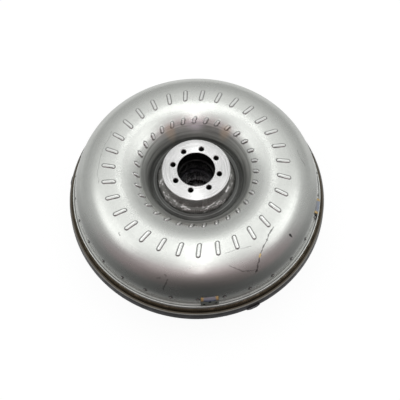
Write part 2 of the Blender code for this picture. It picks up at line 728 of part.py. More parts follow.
def build_bearing(name, bottom, lower_parent, upper_parent, cage_parent):
    """Two hard races, and a cage that holds the needles, stacked upwards from a thrust face."""
    lower = bottom + SEAT_GAP
    middle = lower + RACE_THICKNESS + SEAT_GAP + NEEDLE_RADIUS
    upper = middle + NEEDLE_RADIUS + SEAT_GAP
    inner = BEARING_INNER_RADIUS
    outer = BEARING_OUTER_RADIUS
    for race, foot, parent in (("lower", lower, lower_parent), ("upper", upper, upper_parent)):
        height = parent.location.z
        washer = ring(inner, outer, foot, foot + RACE_THICKNESS, RING_SEGMENTS)
        add(f"{name}_{race}_race", lowered(washer, height), HARDENED_STEEL, parent)
    half = CAGE_THICKNESS / 2
    height = cage_parent.location.z
    cage = ring(inner + RACE_THICKNESS, outer - RACE_THICKNESS, middle - half, middle + half, RING_SEGMENTS)
    cage_object = add(f"{name}_cage", lowered(cage, height), BRONZE, cage_parent)
    needles = []
    for index in range(NEEDLES):
        needle = turned([
            (0, NEEDLE_LENGTH / 2), (NEEDLE_RADIUS, NEEDLE_LENGTH / 2),
            (NEEDLE_RADIUS, -NEEDLE_LENGTH / 2), (0, -NEEDLE_LENGTH / 2)], TINY_SEGMENTS)
        angle = 2 * math.pi * index / NEEDLES
        turn = Matrix.Rotation(angle, 4, "Z") @ Matrix.Rotation(math.pi / 2, 4, "Y")
        bmesh.ops.transform(needle, matrix=turn, verts=needle.verts)
        place = at_angle((inner + outer) / 2, angle, middle - height)
        bmesh.ops.translate(needle, verts=needle.verts, vec=place)
        needles.append(needle)
    tool = add(f"{name}_needle_tool", joined(needles), None, cage_parent)
    boolean(cage_object, tool, "UNION")


def rivet_places():
    return [(RIVET_CIRCLE_RADIUS, 2 * math.pi * rivet / RIVETS) for rivet in range(RIVETS)]


def build_turbine(parent):
    """Shell, blades, hub and rivets, all hung on the turbine's empty."""
    height = parent.location.z
    centre = (CIRCUIT_RADIUS, SPLIT)
    seat = TURBINE_SHELL_SEAT
    inner_radius = TURBINE_RADIUS - TURBINE_WALL
    outer_end = -math.pi + math.asin((SPLIT - seat) / TURBINE_RADIUS)
    inner_end = -math.pi + math.asin((SPLIT - seat - TURBINE_WALL) / inner_radius)
    start = math.asin(-SPLIT_GAP / inner_radius)
    boss_bore = clear_bore(TURBINE_HUB_BOSS_RADIUS, TURBINE_SEGMENTS)
    profile = arc(centre, TURBINE_RADIUS, start, outer_end, TURBINE_POINTS)
    profile += [(boss_bore, seat), (boss_bore, seat + TURBINE_WALL)]
    profile += arc(centre, inner_radius, inner_end, start, TURBINE_POINTS)
    shell = add("turbine_shell", lowered(turned(profile, TURBINE_SEGMENTS), height), PRESSED_STEEL, parent)

    hole_radius = clear_bore(RIVET_RADIUS, TINY_SEGMENTS)
    flange_foot = TURBINE_FLANGE_TOP - TURBINE_HUB_FLANGE
    hole_top = seat + TURBINE_WALL + CUT
    holes = pegs(rivet_places(), hole_radius, flange_foot - CUT, hole_top, TINY_SEGMENTS)
    rivet_tool = add("rivet_hole_tool", lowered(holes, height), None, parent)
    boolean(shell, rivet_tool, "DIFFERENCE")

    blade_radius = inner_radius - facet_gap(RIM_TAB_RADIUS, TURBINE_SEGMENTS)
    wall = arc(centre, blade_radius, start, inner_end, TURBINE_POINTS)
    core_centre = (CIRCUIT_RADIUS, SPLIT - SPLIT_GAP)
    core = arc(core_centre, CORE_RADIUS, 0, -TURBINE_BLADE_LAST, TURBINE_POINTS)
    core.append((CIRCUIT_RADIUS - CORE_RADIUS, SPLIT - SPLIT_GAP))
    lining = arc(core_centre, CORE_RADIUS - CORE_WALL, 0, -math.pi, CORE_POINTS)
    blades = bladed_ring(TURBINE_BLADES, 0, turbine_sweep, core, wall, lining)
    add("turbine_blades", lowered(blades, height), BLADE_STEEL, parent)

    profile = [
        (0, TURBINE_THRUST_FACE),
        (TURBINE_HUB_BOSS_RADIUS, TURBINE_THRUST_FACE),
        (TURBINE_HUB_BOSS_RADIUS, TURBINE_FLANGE_TOP),
        (TURBINE_HUB_FLANGE_RADIUS, TURBINE_FLANGE_TOP),
        (TURBINE_HUB_FLANGE_RADIUS, flange_foot),
        (TURBINE_HUB_BODY_RADIUS + TURBINE_HUB_FLANGE, flange_foot),
        (TURBINE_HUB_BODY_RADIUS, flange_foot - TURBINE_HUB_FLANGE),
        (TURBINE_HUB_BODY_RADIUS, WASHER_TOP + SEAT_GAP),
        (0, WASHER_TOP + SEAT_GAP),
    ]
    hub = add("turbine_hub", lowered(turned(profile, RING_SEGMENTS), height), TURNED_STEEL, parent)
    outline = spline_outline(TURBINE_SPLINE_RADIUS, SPLINE_DEPTH, TURBINE_SPLINE_TEETH)
    bore = extruded([outline], WASHER_TOP, TURBINE_THRUST_FACE + CUT)
    boolean(hub, add("turbine_spline_tool", lowered(bore, height), None, parent), "DIFFERENCE")
    boolean(hub, rivet_tool, "DIFFERENCE")

    top = seat + TURBINE_WALL + SEAT_GAP
    bottom = flange_foot - SEAT_GAP
    for index, (out, turn) in enumerate(rivet_places(), 1):
        rivet = turned([
            (0, top + RIVET_HEAD_HEIGHT),
            (RIVET_HEAD_RADIUS, top),
            (RIVET_RADIUS, top),
            (RIVET_RADIUS, bottom),
            (RIVET_HEAD_RADIUS, bottom),
            (0, bottom - RIVET_HEAD_HEIGHT)], TINY_SEGMENTS)
        bmesh.ops.translate(rivet, verts=rivet.verts, vec=at_angle(out, turn, 0))
        add(f"turbine_rivet_{index}", lowered(rivet, height), BLADE_STEEL, parent)


def stator_blade(angle):
    """One thick-nosed vane that leans round as it crosses from the turbine to the impeller."""
    lean = STATOR_BLADE_WIDTH * math.tan(STATOR_LEAN)
    ring_bore = STATOR_RING_RADIUS - STATOR_RING_WALL
    sections = []
    for radius in (STATOR_HUB_RADIUS - CUT, ring_bore + CUT):
        upper = []
        lower = []
        for share, thick in VANE_STATIONS:
            height = SPLIT + STATOR_BLADE_WIDTH * (share - 0.5)
            middle = lean * (share ** 2 - VANE_BALANCE)
            upper.append((middle + STATOR_NOSE / 2 * thick, height))
            lower.append((middle - STATOR_NOSE / 2 * thick, height))
        tip = (lean * (1 - VANE_BALANCE), SPLIT + STATOR_BLADE_WIDTH / 2)
        outline = upper + [tip] + lower[:0:-1]
        sections.append([at_angle(radius, angle + shift / radius, height) for shift, height in outline])
    return lofted(sections)


def build_stator_wheel(parent):
    """A cast wheel: hub ring with a lip and a snap ring groove, vanes, and an outer ring."""
    height = parent.location.z
    bore = clear_bore(OUTER_RACE_RADIUS, HUB_SEGMENTS)
    groove = bore + SNAP_RING_DEPTH
    groove_top = CLUTCH_BOTTOM - PLATE_STEP
    groove_foot = groove_top - SNAP_RING_THICKNESS - 2 * SEAT_GAP
    lip_foot = CLUTCH_TOP + PLATE_STEP + SEAT_GAP
    profile = [
        (STATOR_HUB_RADIUS, lip_foot + STATOR_LIP),
        (STATOR_HUB_RADIUS, groove_foot - SNAP_RING_THICKNESS),
        (bore, groove_foot - SNAP_RING_THICKNESS),
        (bore, groove_foot),
        (groove, groove_foot),
        (groove, groove_top),
        (bore, groove_top),
        (bore, lip_foot),
        (STATOR_LIP_RADIUS, lip_foot),
        (STATOR_LIP_RADIUS, lip_foot + STATOR_LIP),
    ]
    wheel = add("stator_wheel", lowered(turned(profile, HUB_SEGMENTS), height), CAST_ALUMINIUM, parent)
    vanes = joined([stator_blade(2 * math.pi * blade / STATOR_BLADES) for blade in range(STATOR_BLADES)])
    rim_foot = SPLIT - STATOR_RING_WIDTH / 2
    rim = ring(STATOR_RING_RADIUS - STATOR_RING_WALL, STATOR_RING_RADIUS,
               rim_foot, rim_foot + STATOR_RING_WIDTH, HUB_SEGMENTS)
    boolean(wheel, add("stator_rim_tool", lowered(rim, height), None, parent), "UNION")
    boolean(wheel, add("stator_vane_tool", lowered(vanes, height), None, parent), "UNION")

    snap_foot = groove_foot + SEAT_GAP
    outer = bore + SNAP_RING_DEPTH - 2 * SEAT_GAP
    turns = evenly(SNAP_RING_MOUTH / 2, 2 * math.pi - SNAP_RING_MOUTH / 2, HUB_SEGMENTS)
    outline = [at_angle(outer, turn, 0).xy for turn in turns]
    outline += [at_angle(SNAP_RING_INNER_RADIUS, turn, 0).xy for turn in turns[::-1]]
    snap = extruded([outline], snap_foot, snap_foot + SNAP_RING_THICKNESS)
    add("stator_snap_ring", lowered(snap, height), SPRING_STEEL, parent)


def build_clutch(parent):
    """The one-way clutch's outer race with its cam pockets, the rollers, their springs and the plates."""
    height = parent.location.z
    roller_centre = INNER_RACE_RADIUS + SEAT_GAP + ROLLER_RADIUS
    cam_radius = roller_centre + ROLLER_RADIUS + SEAT_GAP
    land = INNER_RACE_RADIUS + LAND_GAP
    pitch = 2 * math.pi / ROLLERS
    slope = CAM_RISE / (2 * POCKET_HALF_ANGLE)
    pockets = []
    for pocket in range(ROLLERS):
        middle = pocket * pitch
        shape = [(-POCKET_HALF_ANGLE, land)]
        for offset in evenly(-POCKET_HALF_ANGLE, POCKET_HALF_ANGLE, POCKET_POINTS):
            shape.append((offset, cam_radius + SEAT_GAP + slope * (offset - ROLLER_ANGLE)))
        shape.append((POCKET_HALF_ANGLE, land))
        pockets += [at_angle(radius, middle + offset, 0).xy for offset, radius in shape]
    race = extruded([circle(OUTER_RACE_RADIUS, HUB_SEGMENTS), pockets], CLUTCH_BOTTOM, CLUTCH_TOP)
    add("clutch_outer_race", lowered(race, height), HARDENED_STEEL, parent)

    roller_foot = CLUTCH_BOTTOM + SEAT_GAP
    spring_start = ROLLER_ANGLE + math.asin(ROLLER_RADIUS / roller_centre) + SEAT_GAP / roller_centre
    spring_end = POCKET_HALF_ANGLE - SEAT_GAP / roller_centre
    spring_foot = land + SEAT_GAP
    spring_crest = cam_radius - SEAT_GAP
    leaf_run = (spring_end - spring_start) * roller_centre / SPRING_LEAVES
    fold_depth = SPRING_STRIP * math.hypot(leaf_run, spring_crest - spring_foot) / leaf_run
    for pocket in range(ROLLERS):
        middle = pocket * pitch
        roller = turned([
            (0, CLUTCH_TOP - SEAT_GAP), (ROLLER_RADIUS, CLUTCH_TOP - SEAT_GAP),
            (ROLLER_RADIUS, roller_foot), (0, roller_foot)], SMALL_SEGMENTS)
        place = at_angle(roller_centre, middle + ROLLER_ANGLE, 0)
        bmesh.ops.translate(roller, verts=roller.verts, vec=place)
        add(f"clutch_roller_{pocket + 1}", lowered(roller, height), HARDENED_STEEL, parent)
        lower = []
        upper = []
        for fold, turn in enumerate(evenly(spring_start, spring_end, SPRING_LEAVES + 1)):
            out = spring_foot if fold % 2 else spring_crest - fold_depth
            lower.append(at_angle(out, middle + turn, 0).xy)
            upper.append(at_angle(out + fold_depth, middle + turn, 0).xy)
        spring = extruded([lower + upper[::-1]], CLUTCH_BOTTOM + SPRING_MARGIN, CLUTCH_TOP - SPRING_MARGIN)
        add(f"clutch_spring_{pocket + 1}", lowered(spring, height), SPRING_STEEL, parent)

    for name, foot in (("front", CLUTCH_BOTTOM - PLATE_STEP), ("rear", CLUTCH_TOP + SEAT_GAP)):
        plate = ring(PLATE_INNER_RADIUS, OUTER_RACE_RADIUS, foot, foot + PLATE_THICKNESS, HUB_SEGMENTS)
        add(f"clutch_{name}_plate", lowered(plate, height), PHOSPHATED_STEEL, parent)


def build_inner_race(parent):
    """The clutch's inner race, splined for the fixed stator support."""
    outline = spline_outline(INNER_SPLINE_RADIUS, SPLINE_DEPTH, INNER_SPLINE_TEETH)
    race = extruded([circle(INNER_RACE_RADIUS, HUB_SEGMENTS), outline], CLUTCH_BOTTOM, CLUTCH_TOP)
    add("clutch_inner_race", lowered(race, parent.location.z), HARDENED_STEEL, parent)


def main():
    for obj in list(bpy.data.objects):
        bpy.data.objects.remove(obj)
    housing = axis_empty("housing", 0)
    turbine = axis_empty("turbine", TURBINE_THRUST_FACE)
    stator = axis_empty("stator", SPLIT)
    inner_race = axis_empty("inner_race", SPLIT)
    front_cage = axis_empty("front_cage", TURBINE_THRUST_FACE)
    rear_cage = axis_empty("rear_cage", HUB_THRUST_FACE)

    build_front_cover()
    build_pilot_boss()
    build_impeller_shell()
    build_impeller_blades()
    build_impeller_hub()
    bead("hub_weld", HUB_RADIUS + SEAT_GAP, NECK_TOP + SEAT_GAP,
         HUB_WELD_WIDTH, HUB_WELD_HEIGHT, HUB_SEGMENTS)
    bead("seam_weld", SKIRT_RADIUS + SEAT_GAP, COVER_EDGE + SEAT_GAP,
         SEAM_WELD_WIDTH, SEAM_WELD_HEIGHT, RIM_SEGMENTS)
    for lug in range(LUGS):
        build_drive_lug(f"drive_lug_{lug + 1}", LUG_PHASE + 2 * math.pi * lug / LUGS)
    for index, angle in enumerate(WEIGHT_ANGLES, 1):
        build_balance_weight(f"balance_weight_{index}", angle)
    washer = ring(TURBINE_SPLINE_RADIUS + SEAT_GAP, WASHER_RADIUS, COVER_FLOOR + SEAT_GAP, WASHER_TOP,
                  RING_SEGMENTS)
    add("front_thrust_washer", washer, BRONZE)

    build_turbine(turbine)
    build_stator_wheel(stator)
    build_clutch(stator)
    build_inner_race(inner_race)
    build_bearing("front_bearing", TURBINE_THRUST_FACE, turbine, stator, front_cage)
    build_bearing("rear_bearing", CLUTCH_TOP + PLATE_STEP, stator, housing, rear_cage)


main()
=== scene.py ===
"""Looks of a torque converter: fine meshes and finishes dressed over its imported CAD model.

Lengths are in metres and angles in radians, in the CAD model's own frame. +Z is the shaft axis, towards
the transmission, and +X is the right of the photograph.
"""

import json
import math

import bmesh
import bpy
import numpy as np
from mathutils import Matrix, Vector


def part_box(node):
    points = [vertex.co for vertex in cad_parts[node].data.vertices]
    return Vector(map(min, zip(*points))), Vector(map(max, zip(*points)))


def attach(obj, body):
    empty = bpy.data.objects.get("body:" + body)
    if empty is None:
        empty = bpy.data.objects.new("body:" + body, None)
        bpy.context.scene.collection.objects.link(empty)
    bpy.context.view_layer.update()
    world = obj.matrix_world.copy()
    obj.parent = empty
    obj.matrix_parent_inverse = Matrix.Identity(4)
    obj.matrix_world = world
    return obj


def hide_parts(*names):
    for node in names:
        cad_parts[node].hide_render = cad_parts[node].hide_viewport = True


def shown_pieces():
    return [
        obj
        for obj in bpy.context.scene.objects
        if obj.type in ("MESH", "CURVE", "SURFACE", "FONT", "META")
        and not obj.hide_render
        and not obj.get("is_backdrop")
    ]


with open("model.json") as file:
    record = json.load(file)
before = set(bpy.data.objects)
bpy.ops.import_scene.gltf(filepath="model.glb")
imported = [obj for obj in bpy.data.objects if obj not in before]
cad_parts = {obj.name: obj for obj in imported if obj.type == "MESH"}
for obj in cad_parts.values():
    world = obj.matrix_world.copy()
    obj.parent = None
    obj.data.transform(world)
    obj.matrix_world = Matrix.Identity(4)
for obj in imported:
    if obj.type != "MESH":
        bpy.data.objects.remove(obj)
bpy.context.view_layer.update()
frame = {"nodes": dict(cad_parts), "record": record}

# The photograph's camera
PHOTO_PIXELS = 400
FOCAL_PIXELS = 523.29
TARGET_PIXEL = (196.64, 192.39)
TARGET_HEIGHT = 0.0632
CAMERA_DISTANCE = 0.7474
CAMERA_ELEVATION = math.radians(64.27)
CAMERA_ROLL = math.radians(-1.32)
SENSOR = 36.0

# Front cover
PILOT_RADIUS = 0.028
PILOT_CHAMFER = 0.0015
PILOT_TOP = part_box("pilot_boss")[1][2]
RIM_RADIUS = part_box("front_cover")[1][0]
COVER_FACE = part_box("front_cover")[0][2]
COVER_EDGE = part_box("front_cover")[1][2]
COVER_WALL = 0.005
COVER_FLOOR = COVER_FACE + COVER_WALL
RIM_BELOW_EDGE = 0.0125
RIM_HEIGHT = COVER_EDGE - RIM_BELOW_EDGE
COVER_EDGE_INSET = 0.0021
COVER_SEAT_DEPTH = 0.0088
SEAT_WIDTH = 0.0023
DISH_END = math.radians(-14.5)
SPLIT = RIM_HEIGHT + 0.012
CIRCUIT_RADIUS = 0.110

# Impeller shell, whose section is a superellipse
SKIRT_RADIUS = 0.1707
SEAT_GAP = 0.0003
SHELL_WALL = 0.0045
SKIRT_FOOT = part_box("impeller_shell")[0][2]
LEDGE = SKIRT_FOOT + 0.0201
LEDGE_ROUND = 0.0006
LEDGE_FILLET = 0.0012
DOME_HALF_WIDTH = 0.05345
DOME_HALF_HEIGHT = 0.05904
DOME_POWER = 2.57
DOME_RADIUS = 0.11285
DOME_HEIGHT = SKIRT_FOOT + 0.0120
DOME_LAST = math.radians(155.0)
INNER_DOME_FIRST = math.radians(7.0)
INNER_DOME_LAST = math.radians(150.0)
INNER_DOME_ROWS = 24
NECK_TOP = SKIRT_FOOT + 0.0409
NECK_UNDERSIDE = NECK_TOP - SHELL_WALL
NECK_RADIUS = 0.060
NECK_BORE = 0.0503

# Tabs of the impeller blades: three rings of raised ovals, as (radius, (length, width), edge width, height)
BLADES = 31
BLADE_PHASE = math.radians(95.2)
BLADE_SWEEP = math.radians(7.0)
BLADE_SWEEP_POWER = 3.5
RIM_TAB_RADIUS = 0.1646
CROWN_TAB_RADIUS = 0.1140
NECK_TAB_RADIUS = 0.0784
TAB_ROWS = (
    (RIM_TAB_RADIUS, (0.0052, 0.0046), 0.0015, 0.0017),
    (CROWN_TAB_RADIUS, (0.0180, 0.0054), 0.0010, 0.0013),
    (NECK_TAB_RADIUS, (0.0092, 0.0052), 0.0012, 0.0017),
)

# Impeller hub
HUB_RADIUS = 0.045
HUB_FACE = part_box("impeller_hub")[1][2]
HUB_THRUST_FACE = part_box("impeller_hub")[0][2]
HUB_SEAT_RADIUS = 0.050
HUB_NOSE_RADIUS = 0.040
HUB_CHAMFER = 0.0008
BORE_RADIUS = 0.0248
BORE_DEPTH = 0.018
THROAT_RADIUS = 0.0226
BOLT_HOLES = 8
BOLT_CIRCLE_RADIUS = 0.0312
BOLT_HOLE_RADIUS = 0.0034
BOLT_HOLE_DEPTH = 0.015
BOLT_PHASE = math.radians(120.9)

# Welds
WELD_SINK = 0.0004
HUB_WELD_WIDTH = 0.0092
HUB_WELD_HEIGHT = 0.0050
SEAM_WELD_WIDTH = 0.0048
SEAM_WELD_HEIGHT = 0.0052
HUB_WELD_PITCH = 0.0022
SEAM_WELD_PITCH = 0.0026
HUB_WELD_SEED = 3
SEAM_WELD_SEED = 8

# Drive lugs and balance weights
LUGS = 3
LUG_PHASE = math.radians(172.8)
LUG_REACH = 0.0015
LUG_WIDTH = 0.0185
LUG_HEIGHT = 0.0165
LUG_RISE = 0.0035
LUG_LIP = 0.0010
LUG_SHELF = 0.0010
LUG_FOOT = 0.0058
LUG_CHAMFER = 0.005
LUG_END_SHARE = 0.3
LUG_BEVEL = 0.0007
WEIGHT_ANGLES = (math.radians(-85.5), math.radians(-15.5))
WEIGHT_LENGTH = 0.025
WEIGHT_HEIGHT = 0.0190
WEIGHT_THICKNESS = 0.0032
WEIGHT_LIP = -0.0003
WEIGHT_FACE = 0.0155
WEIGHT_ROUND = 0.0014
WEIGHT_DIMPLE_RADIUS = 0.0018
WEIGHT_DIMPLE_DEPTH = 0.0013
WEIGHT_ENDS = 0.0009
DIMPLE_FLOOR = 1.3
WEIGHT_DIMPLES = ((-0.60, 0.0065), (0.0, 0.0125), (0.60, 0.0080))

# Facets and the fine forms of small features
CUT = 0.0006
HOLE_CHAMFER = 0.0006
THREAD_PITCH = 0.00125
THREAD_DEPTH = 0.0005
DRILL_POINT = 0.0018
CENTRE_MARK = 0.0032
BEAD_COLUMNS = 6
BEAD_ROWS = 12
BEAD_WAVES = (5, 9, 17, 31, 47)
BEAD_CHEVRON = 0.45
BEAD_WAVER = 0.10
BEAD_FULLNESS = 0.14
BEAD_SHRINK = 0.97
BEAD_RIPPLE = 0.00028
LUG_STEPS = 7
WEIGHT_ROWS = 36
WEIGHT_COLUMNS = 60
RIM_SEGMENTS = 256
HUB_SEGMENTS = 128
HOLE_SEGMENTS = 28
ROUND_STEPS = 4


# The material slot of each piece that is made here
SLOT_OF = {}


def evenly(first, last, count):
    return [first + (last - first) * step / (count - 1) for step in range(count)]


def at_angle(radius, angle, height):
    return Vector((radius * math.cos(angle), radius * math.sin(angle), height))


def into_scene(name, data):
    """A new object that is linked to the scene."""
    obj = bpy.data.objects.new(name, data)
    bpy.context.scene.collection.objects.link(obj)
    return obj


def add_mesh(name, mesh, body, slot, replaced=(), sharp=40.0):
    """Put a mesh in the scene as a piece that rides on a body and stands for CAD nodes."""
    mesh.name = name
    mesh.shade_smooth()
    mesh.set_sharp_from_angle(angle=math.radians(sharp))
    obj = into_scene(name, mesh)
    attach(obj, body)
    SLOT_OF[name] = slot
    if replaced:
        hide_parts(*replaced)
    return obj


def rounded(corners):
    """Points of a closed section from corners of (radius, height, rounding)."""
    points = []
    for before, here, after in zip(corners[-1:] + corners[:-1], corners, corners[1:] + corners[:1]):
        corner = Vector(here[:2])
        rounding = here[2]
        if not rounding:
            points.append(tuple(corner))
            continue
        back = (Vector(before[:2]) - corner).normalized() * rounding
        on = (Vector(after[:2]) - corner).normalized() * rounding
        for share in evenly(0, 1, ROUND_STEPS + 1):
            points.append(tuple(corner + back * (1 - share) ** 2 + on * share ** 2))
    return points


def turned(profile, segments):
    """Spin a closed outline of (radius, height) points about Z."""
    mesh_data = bmesh.new()
    points = [mesh_data.verts.new((radius, 0, height)) for radius, height in profile]
    edges = [mesh_data.edges.new(pair) for pair in zip(points, points[1:])]
    if profile[0][0] > 0 or profile[-1][0] > 0:
        edges.append(mesh_data.edges.new((points[-1], points[0])))
    bmesh.ops.spin(
        mesh_data, geom=points + edges, cent=(0, 0, 0), axis=(0, 0, 1),
        angle=2 * math.pi, steps=segments, use_merge=True)
    return mesh_data


def finished(mesh_data):
    """Turn a bmesh into a clean mesh with outward normals."""
    bmesh.ops.remove_doubles(mesh_data, verts=mesh_data.verts, dist=1e-7)
    bmesh.ops.recalc_face_normals(mesh_data, faces=mesh_data.faces)
    if mesh_data.calc_volume(signed=True) < 0:
        bmesh.ops.reverse_faces(mesh_data, faces=mesh_data.faces)
    mesh = bpy.data.meshes.new("piece")
    mesh_data.to_mesh(mesh)
    mesh_data.free()
    return mesh


def arc(centre, radius, first, last, count):
    """Points of an arc in the (radius, height) section."""
    return [
        (centre[0] + radius * math.cos(turn), centre[1] + radius * math.sin(turn))
        for turn in evenly(first, last, count)
    ]


def dome_section(turn, depth=0.0):
    """Radius, height and outward normal of the dome's section, at a depth below its outer face."""
    across = np.copysign(np.abs(np.cos(turn)) ** (2 / DOME_POWER), np.cos(turn))
    up = np.abs(np.sin(turn)) ** (2 / DOME_POWER)
    out = np.copysign(np.abs(across) ** (DOME_POWER - 1), across) / DOME_HALF_WIDTH
    rise = up ** (DOME_POWER - 1) / DOME_HALF_HEIGHT
    length = np.hypot(out, rise)
    out, rise = out / length, rise / length
    radius = DOME_RADIUS + DOME_HALF_WIDTH * across - depth * out
    height = DOME_HEIGHT + DOME_HALF_HEIGHT * up - depth * rise
    return radius, height, out, rise


def blade_sweep(radius):
    """How far a blade has turned at a radius, from nothing at the rim."""
    share = (RIM_TAB_RADIUS - radius) / (RIM_TAB_RADIUS - NECK_TAB_RADIUS)
    return BLADE_SWEEP * np.maximum(share, 0.0) ** BLADE_SWEEP_POWER


def smooth_step(share):
    share = np.clip(share, 0.0, 1.0)
    return share * share * (3 - 2 * share)


# Grid of the dome: close columns beside each blade's line and close rows round each tab's ends
TAB_STRIP = math.radians(1.85)
TAB_COLUMNS = 12
OPEN_COLUMNS = 6
COARSE_STEP = 0.0022
FINE_STEP = 0.00055
FINE_REACH = 0.0016
DOME_SAMPLES = 4000
TAB_DISH = 0.00016
# Where the painted shade round each tab's foot lies, just inside its edge, and how wide it is
TAB_FOOT_SHADE_INSET = 0.0001
TAB_FOOT_SHADE_WIDTH = 0.0007


def dome_rows():
    """Sampled dome section and the runs along it at which the grid has its rows."""
    first = math.asin(((LEDGE - DOME_HEIGHT) / DOME_HALF_HEIGHT) ** (DOME_POWER / 2))
    radius, height, out, rise = dome_section(np.linspace(first, DOME_LAST, DOME_SAMPLES))
    run = np.concatenate(([0.0], np.cumsum(np.hypot(np.diff(radius), np.diff(height)))))
    tabs = []
    for place, (length, width), edge, tall in TAB_ROWS:
        middle = np.interp(-place, -radius, run)
        tabs.append((middle, length, width, edge, tall))
    rows = [0.0]
    while rows[-1] < run[-1] - COARSE_STEP:
        here = rows[-1]
        step = COARSE_STEP
        for middle, length, width, _, _ in tabs:
            from_end = abs(abs(here - middle) - (length - width / 2) / 2)
            if from_end < width / 4 + FINE_REACH:
                step = FINE_STEP
        rows.append(here + step)
    rows[-1] = run[-1]
    section = [np.interp(rows, run, values) for values in (radius, height, out, rise)]
    return np.array(rows), section, tabs


def grid_mesh(radius, height, angle, marks=None):
    """A closed tube of quads from arrays of rows by columns, joined along both directions.

    The marks are named arrays of the same shape, which the mesh keeps for its finish.
    """
    rows, columns = radius.shape
    points = np.stack((radius * np.cos(angle), radius * np.sin(angle), height), axis=-1).reshape(-1, 3)
    index = np.arange(rows * columns).reshape(rows, columns)
    on = np.roll(index, -1, axis=0)
    quads = np.stack((index, np.roll(index, -1, axis=1), np.roll(on, -1, axis=1), on), axis=-1)
    mesh = bpy.data.meshes.new("grid")
    mesh.from_pydata(points.tolist(), [], quads.reshape(-1, 4).tolist())
    for name, values in (marks or {}).items():
        mesh.attributes.new(name, "FLOAT", "POINT").data.foreach_set("value", values.ravel())
    mesh_data = bmesh.new()
    mesh_data.from_mesh(mesh)
    bpy.data.meshes.remove(mesh)
    return finished(mesh_data)


def build_impeller_shell():
    """The dome with its three rings of tabs, the ledge, the skirt and the flat neck."""
    rows, (dome_r, dome_z, out, rise), tabs = dome_rows()
    pitch = 2 * math.pi / BLADES
    beside = np.concatenate((
        np.linspace(-TAB_STRIP, TAB_STRIP, TAB_COLUMNS + 1),
        np.linspace(TAB_STRIP, pitch - TAB_STRIP, OPEN_COLUMNS + 2)[1:-1]))
    line = np.tile(beside, BLADES)
    column = line + np.repeat(np.arange(BLADES) * pitch, len(beside)) + BLADE_PHASE

    lift = np.zeros((len(rows), len(line)))
    foot = np.zeros_like(lift)
    crest = np.zeros_like(lift)
    for middle, length, width, edge, tall in tabs:
        along = np.maximum(np.abs(rows - middle) - (length - width) / 2, 0.0)[:, None]
        across = dome_r[:, None] * line[None, :]
        inside = width / 2 - np.hypot(along, across)
        dish = TAB_DISH * smooth_step((inside - edge) / (width / 2 - edge))
        lift += tall * smooth_step(inside / edge) - dish
        # A thin ring round each tab's foot, for painted shade, and its top, for a painted highlight
        foot += np.exp(-((inside - TAB_FOOT_SHADE_INSET) / TAB_FOOT_SHADE_WIDTH) ** 2)
        crest += smooth_step((inside - edge) / edge)
    outer_r = dome_r[:, None] + out[:, None] * lift
    outer_z = dome_z[:, None] + rise[:, None] * lift

    ledge_r = dome_r[0] + LEDGE_FILLET
    below = rounded([
        (SKIRT_RADIUS - SHELL_WALL, SKIRT_FOOT, 0.0003),
        (SKIRT_RADIUS, SKIRT_FOOT, 0.0003),
        (SKIRT_RADIUS, LEDGE, LEDGE_ROUND),
        (ledge_r, LEDGE, 0.0),
    ])
    inside = rounded([
        (NECK_RADIUS, NECK_TOP, 0.004),
        (NECK_BORE, NECK_TOP, 0.0),
        (NECK_BORE, NECK_UNDERSIDE, 0.0),
        (NECK_RADIUS + SHELL_WALL / 2, NECK_UNDERSIDE, 0.0),
    ])
    inner_turns = np.linspace(INNER_DOME_LAST, INNER_DOME_FIRST, INNER_DOME_ROWS)
    inner_r, inner_z, _, _ = dome_section(inner_turns, SHELL_WALL)
    inside += list(zip(inner_r, inner_z))
    inside += [(inner_r[-1], LEDGE - SHELL_WALL), (SKIRT_RADIUS - SHELL_WALL, LEDGE - SHELL_WALL)]

    def plain(points):
        values = np.array(points)[:, :, None] * np.ones(len(line))
        return values[:, 0], values[:, 1]

    before_r, before_z = plain(below)
    after_r, after_z = plain(inside)
    radius = np.concatenate((before_r, outer_r, after_r))
    height = np.concatenate((before_z, outer_z, after_z))
    base = np.concatenate((before_r[:, 0], dome_r, after_r[:, 0]))
    angle = column[None, :] + blade_sweep(base)[:, None]
    above = [(len(below), len(inside)), (0, 0)]
    # tab_foot carries the painted shade round the tabs, and tab_crest the painted highlight on their tops
    marks = {"tab_foot": np.pad(foot, above), "tab_crest": np.pad(crest, above)}
    mesh = grid_mesh(radius, height, angle, marks)
    return add_mesh("impeller_shell_pressing", mesh, "housing", "pressed_steel", ["impeller_shell"], 55.0)


def build_front_cover():
    """The dished cover with its thick skirt and the seat inside it."""
    centre = (CIRCUIT_RADIUS, SPLIT)
    dish = SPLIT - COVER_FACE
    inner_dish = dish - COVER_WALL
    seat_bore = SKIRT_RADIUS - SEAT_WIDTH
    bore = SKIRT_RADIUS + SEAT_GAP
    skirt_turn = -math.acos((seat_bore - CIRCUIT_RADIUS) / inner_dish)
    dish_rim = arc(centre, dish, DISH_END, DISH_END, 2)[0]
    edge = rounded([
        (*dish_rim, 0.0006),
        (RIM_RADIUS, RIM_HEIGHT - 0.0010, 0.0008),
        (RIM_RADIUS - COVER_EDGE_INSET, COVER_EDGE, 0.0005),
        (bore, COVER_EDGE, 0.0004),
        (bore, COVER_EDGE - COVER_SEAT_DEPTH, 0.0),
        (seat_bore, COVER_EDGE - COVER_SEAT_DEPTH, 0.0003),
    ])
    profile = [(0, COVER_FACE)]
    profile += arc(centre, dish, -math.pi / 2, DISH_END, 24)[:-1]
    profile += edge
    profile += arc(centre, inner_dish, skirt_turn, -math.pi / 2, 16)[1:]
    profile.append((0, COVER_FLOOR))
    mesh = finished(turned(profile, RIM_SEGMENTS))
    return add_mesh("front_cover_pressing", mesh, "housing", "dark_steel", ["front_cover"], 35.0)


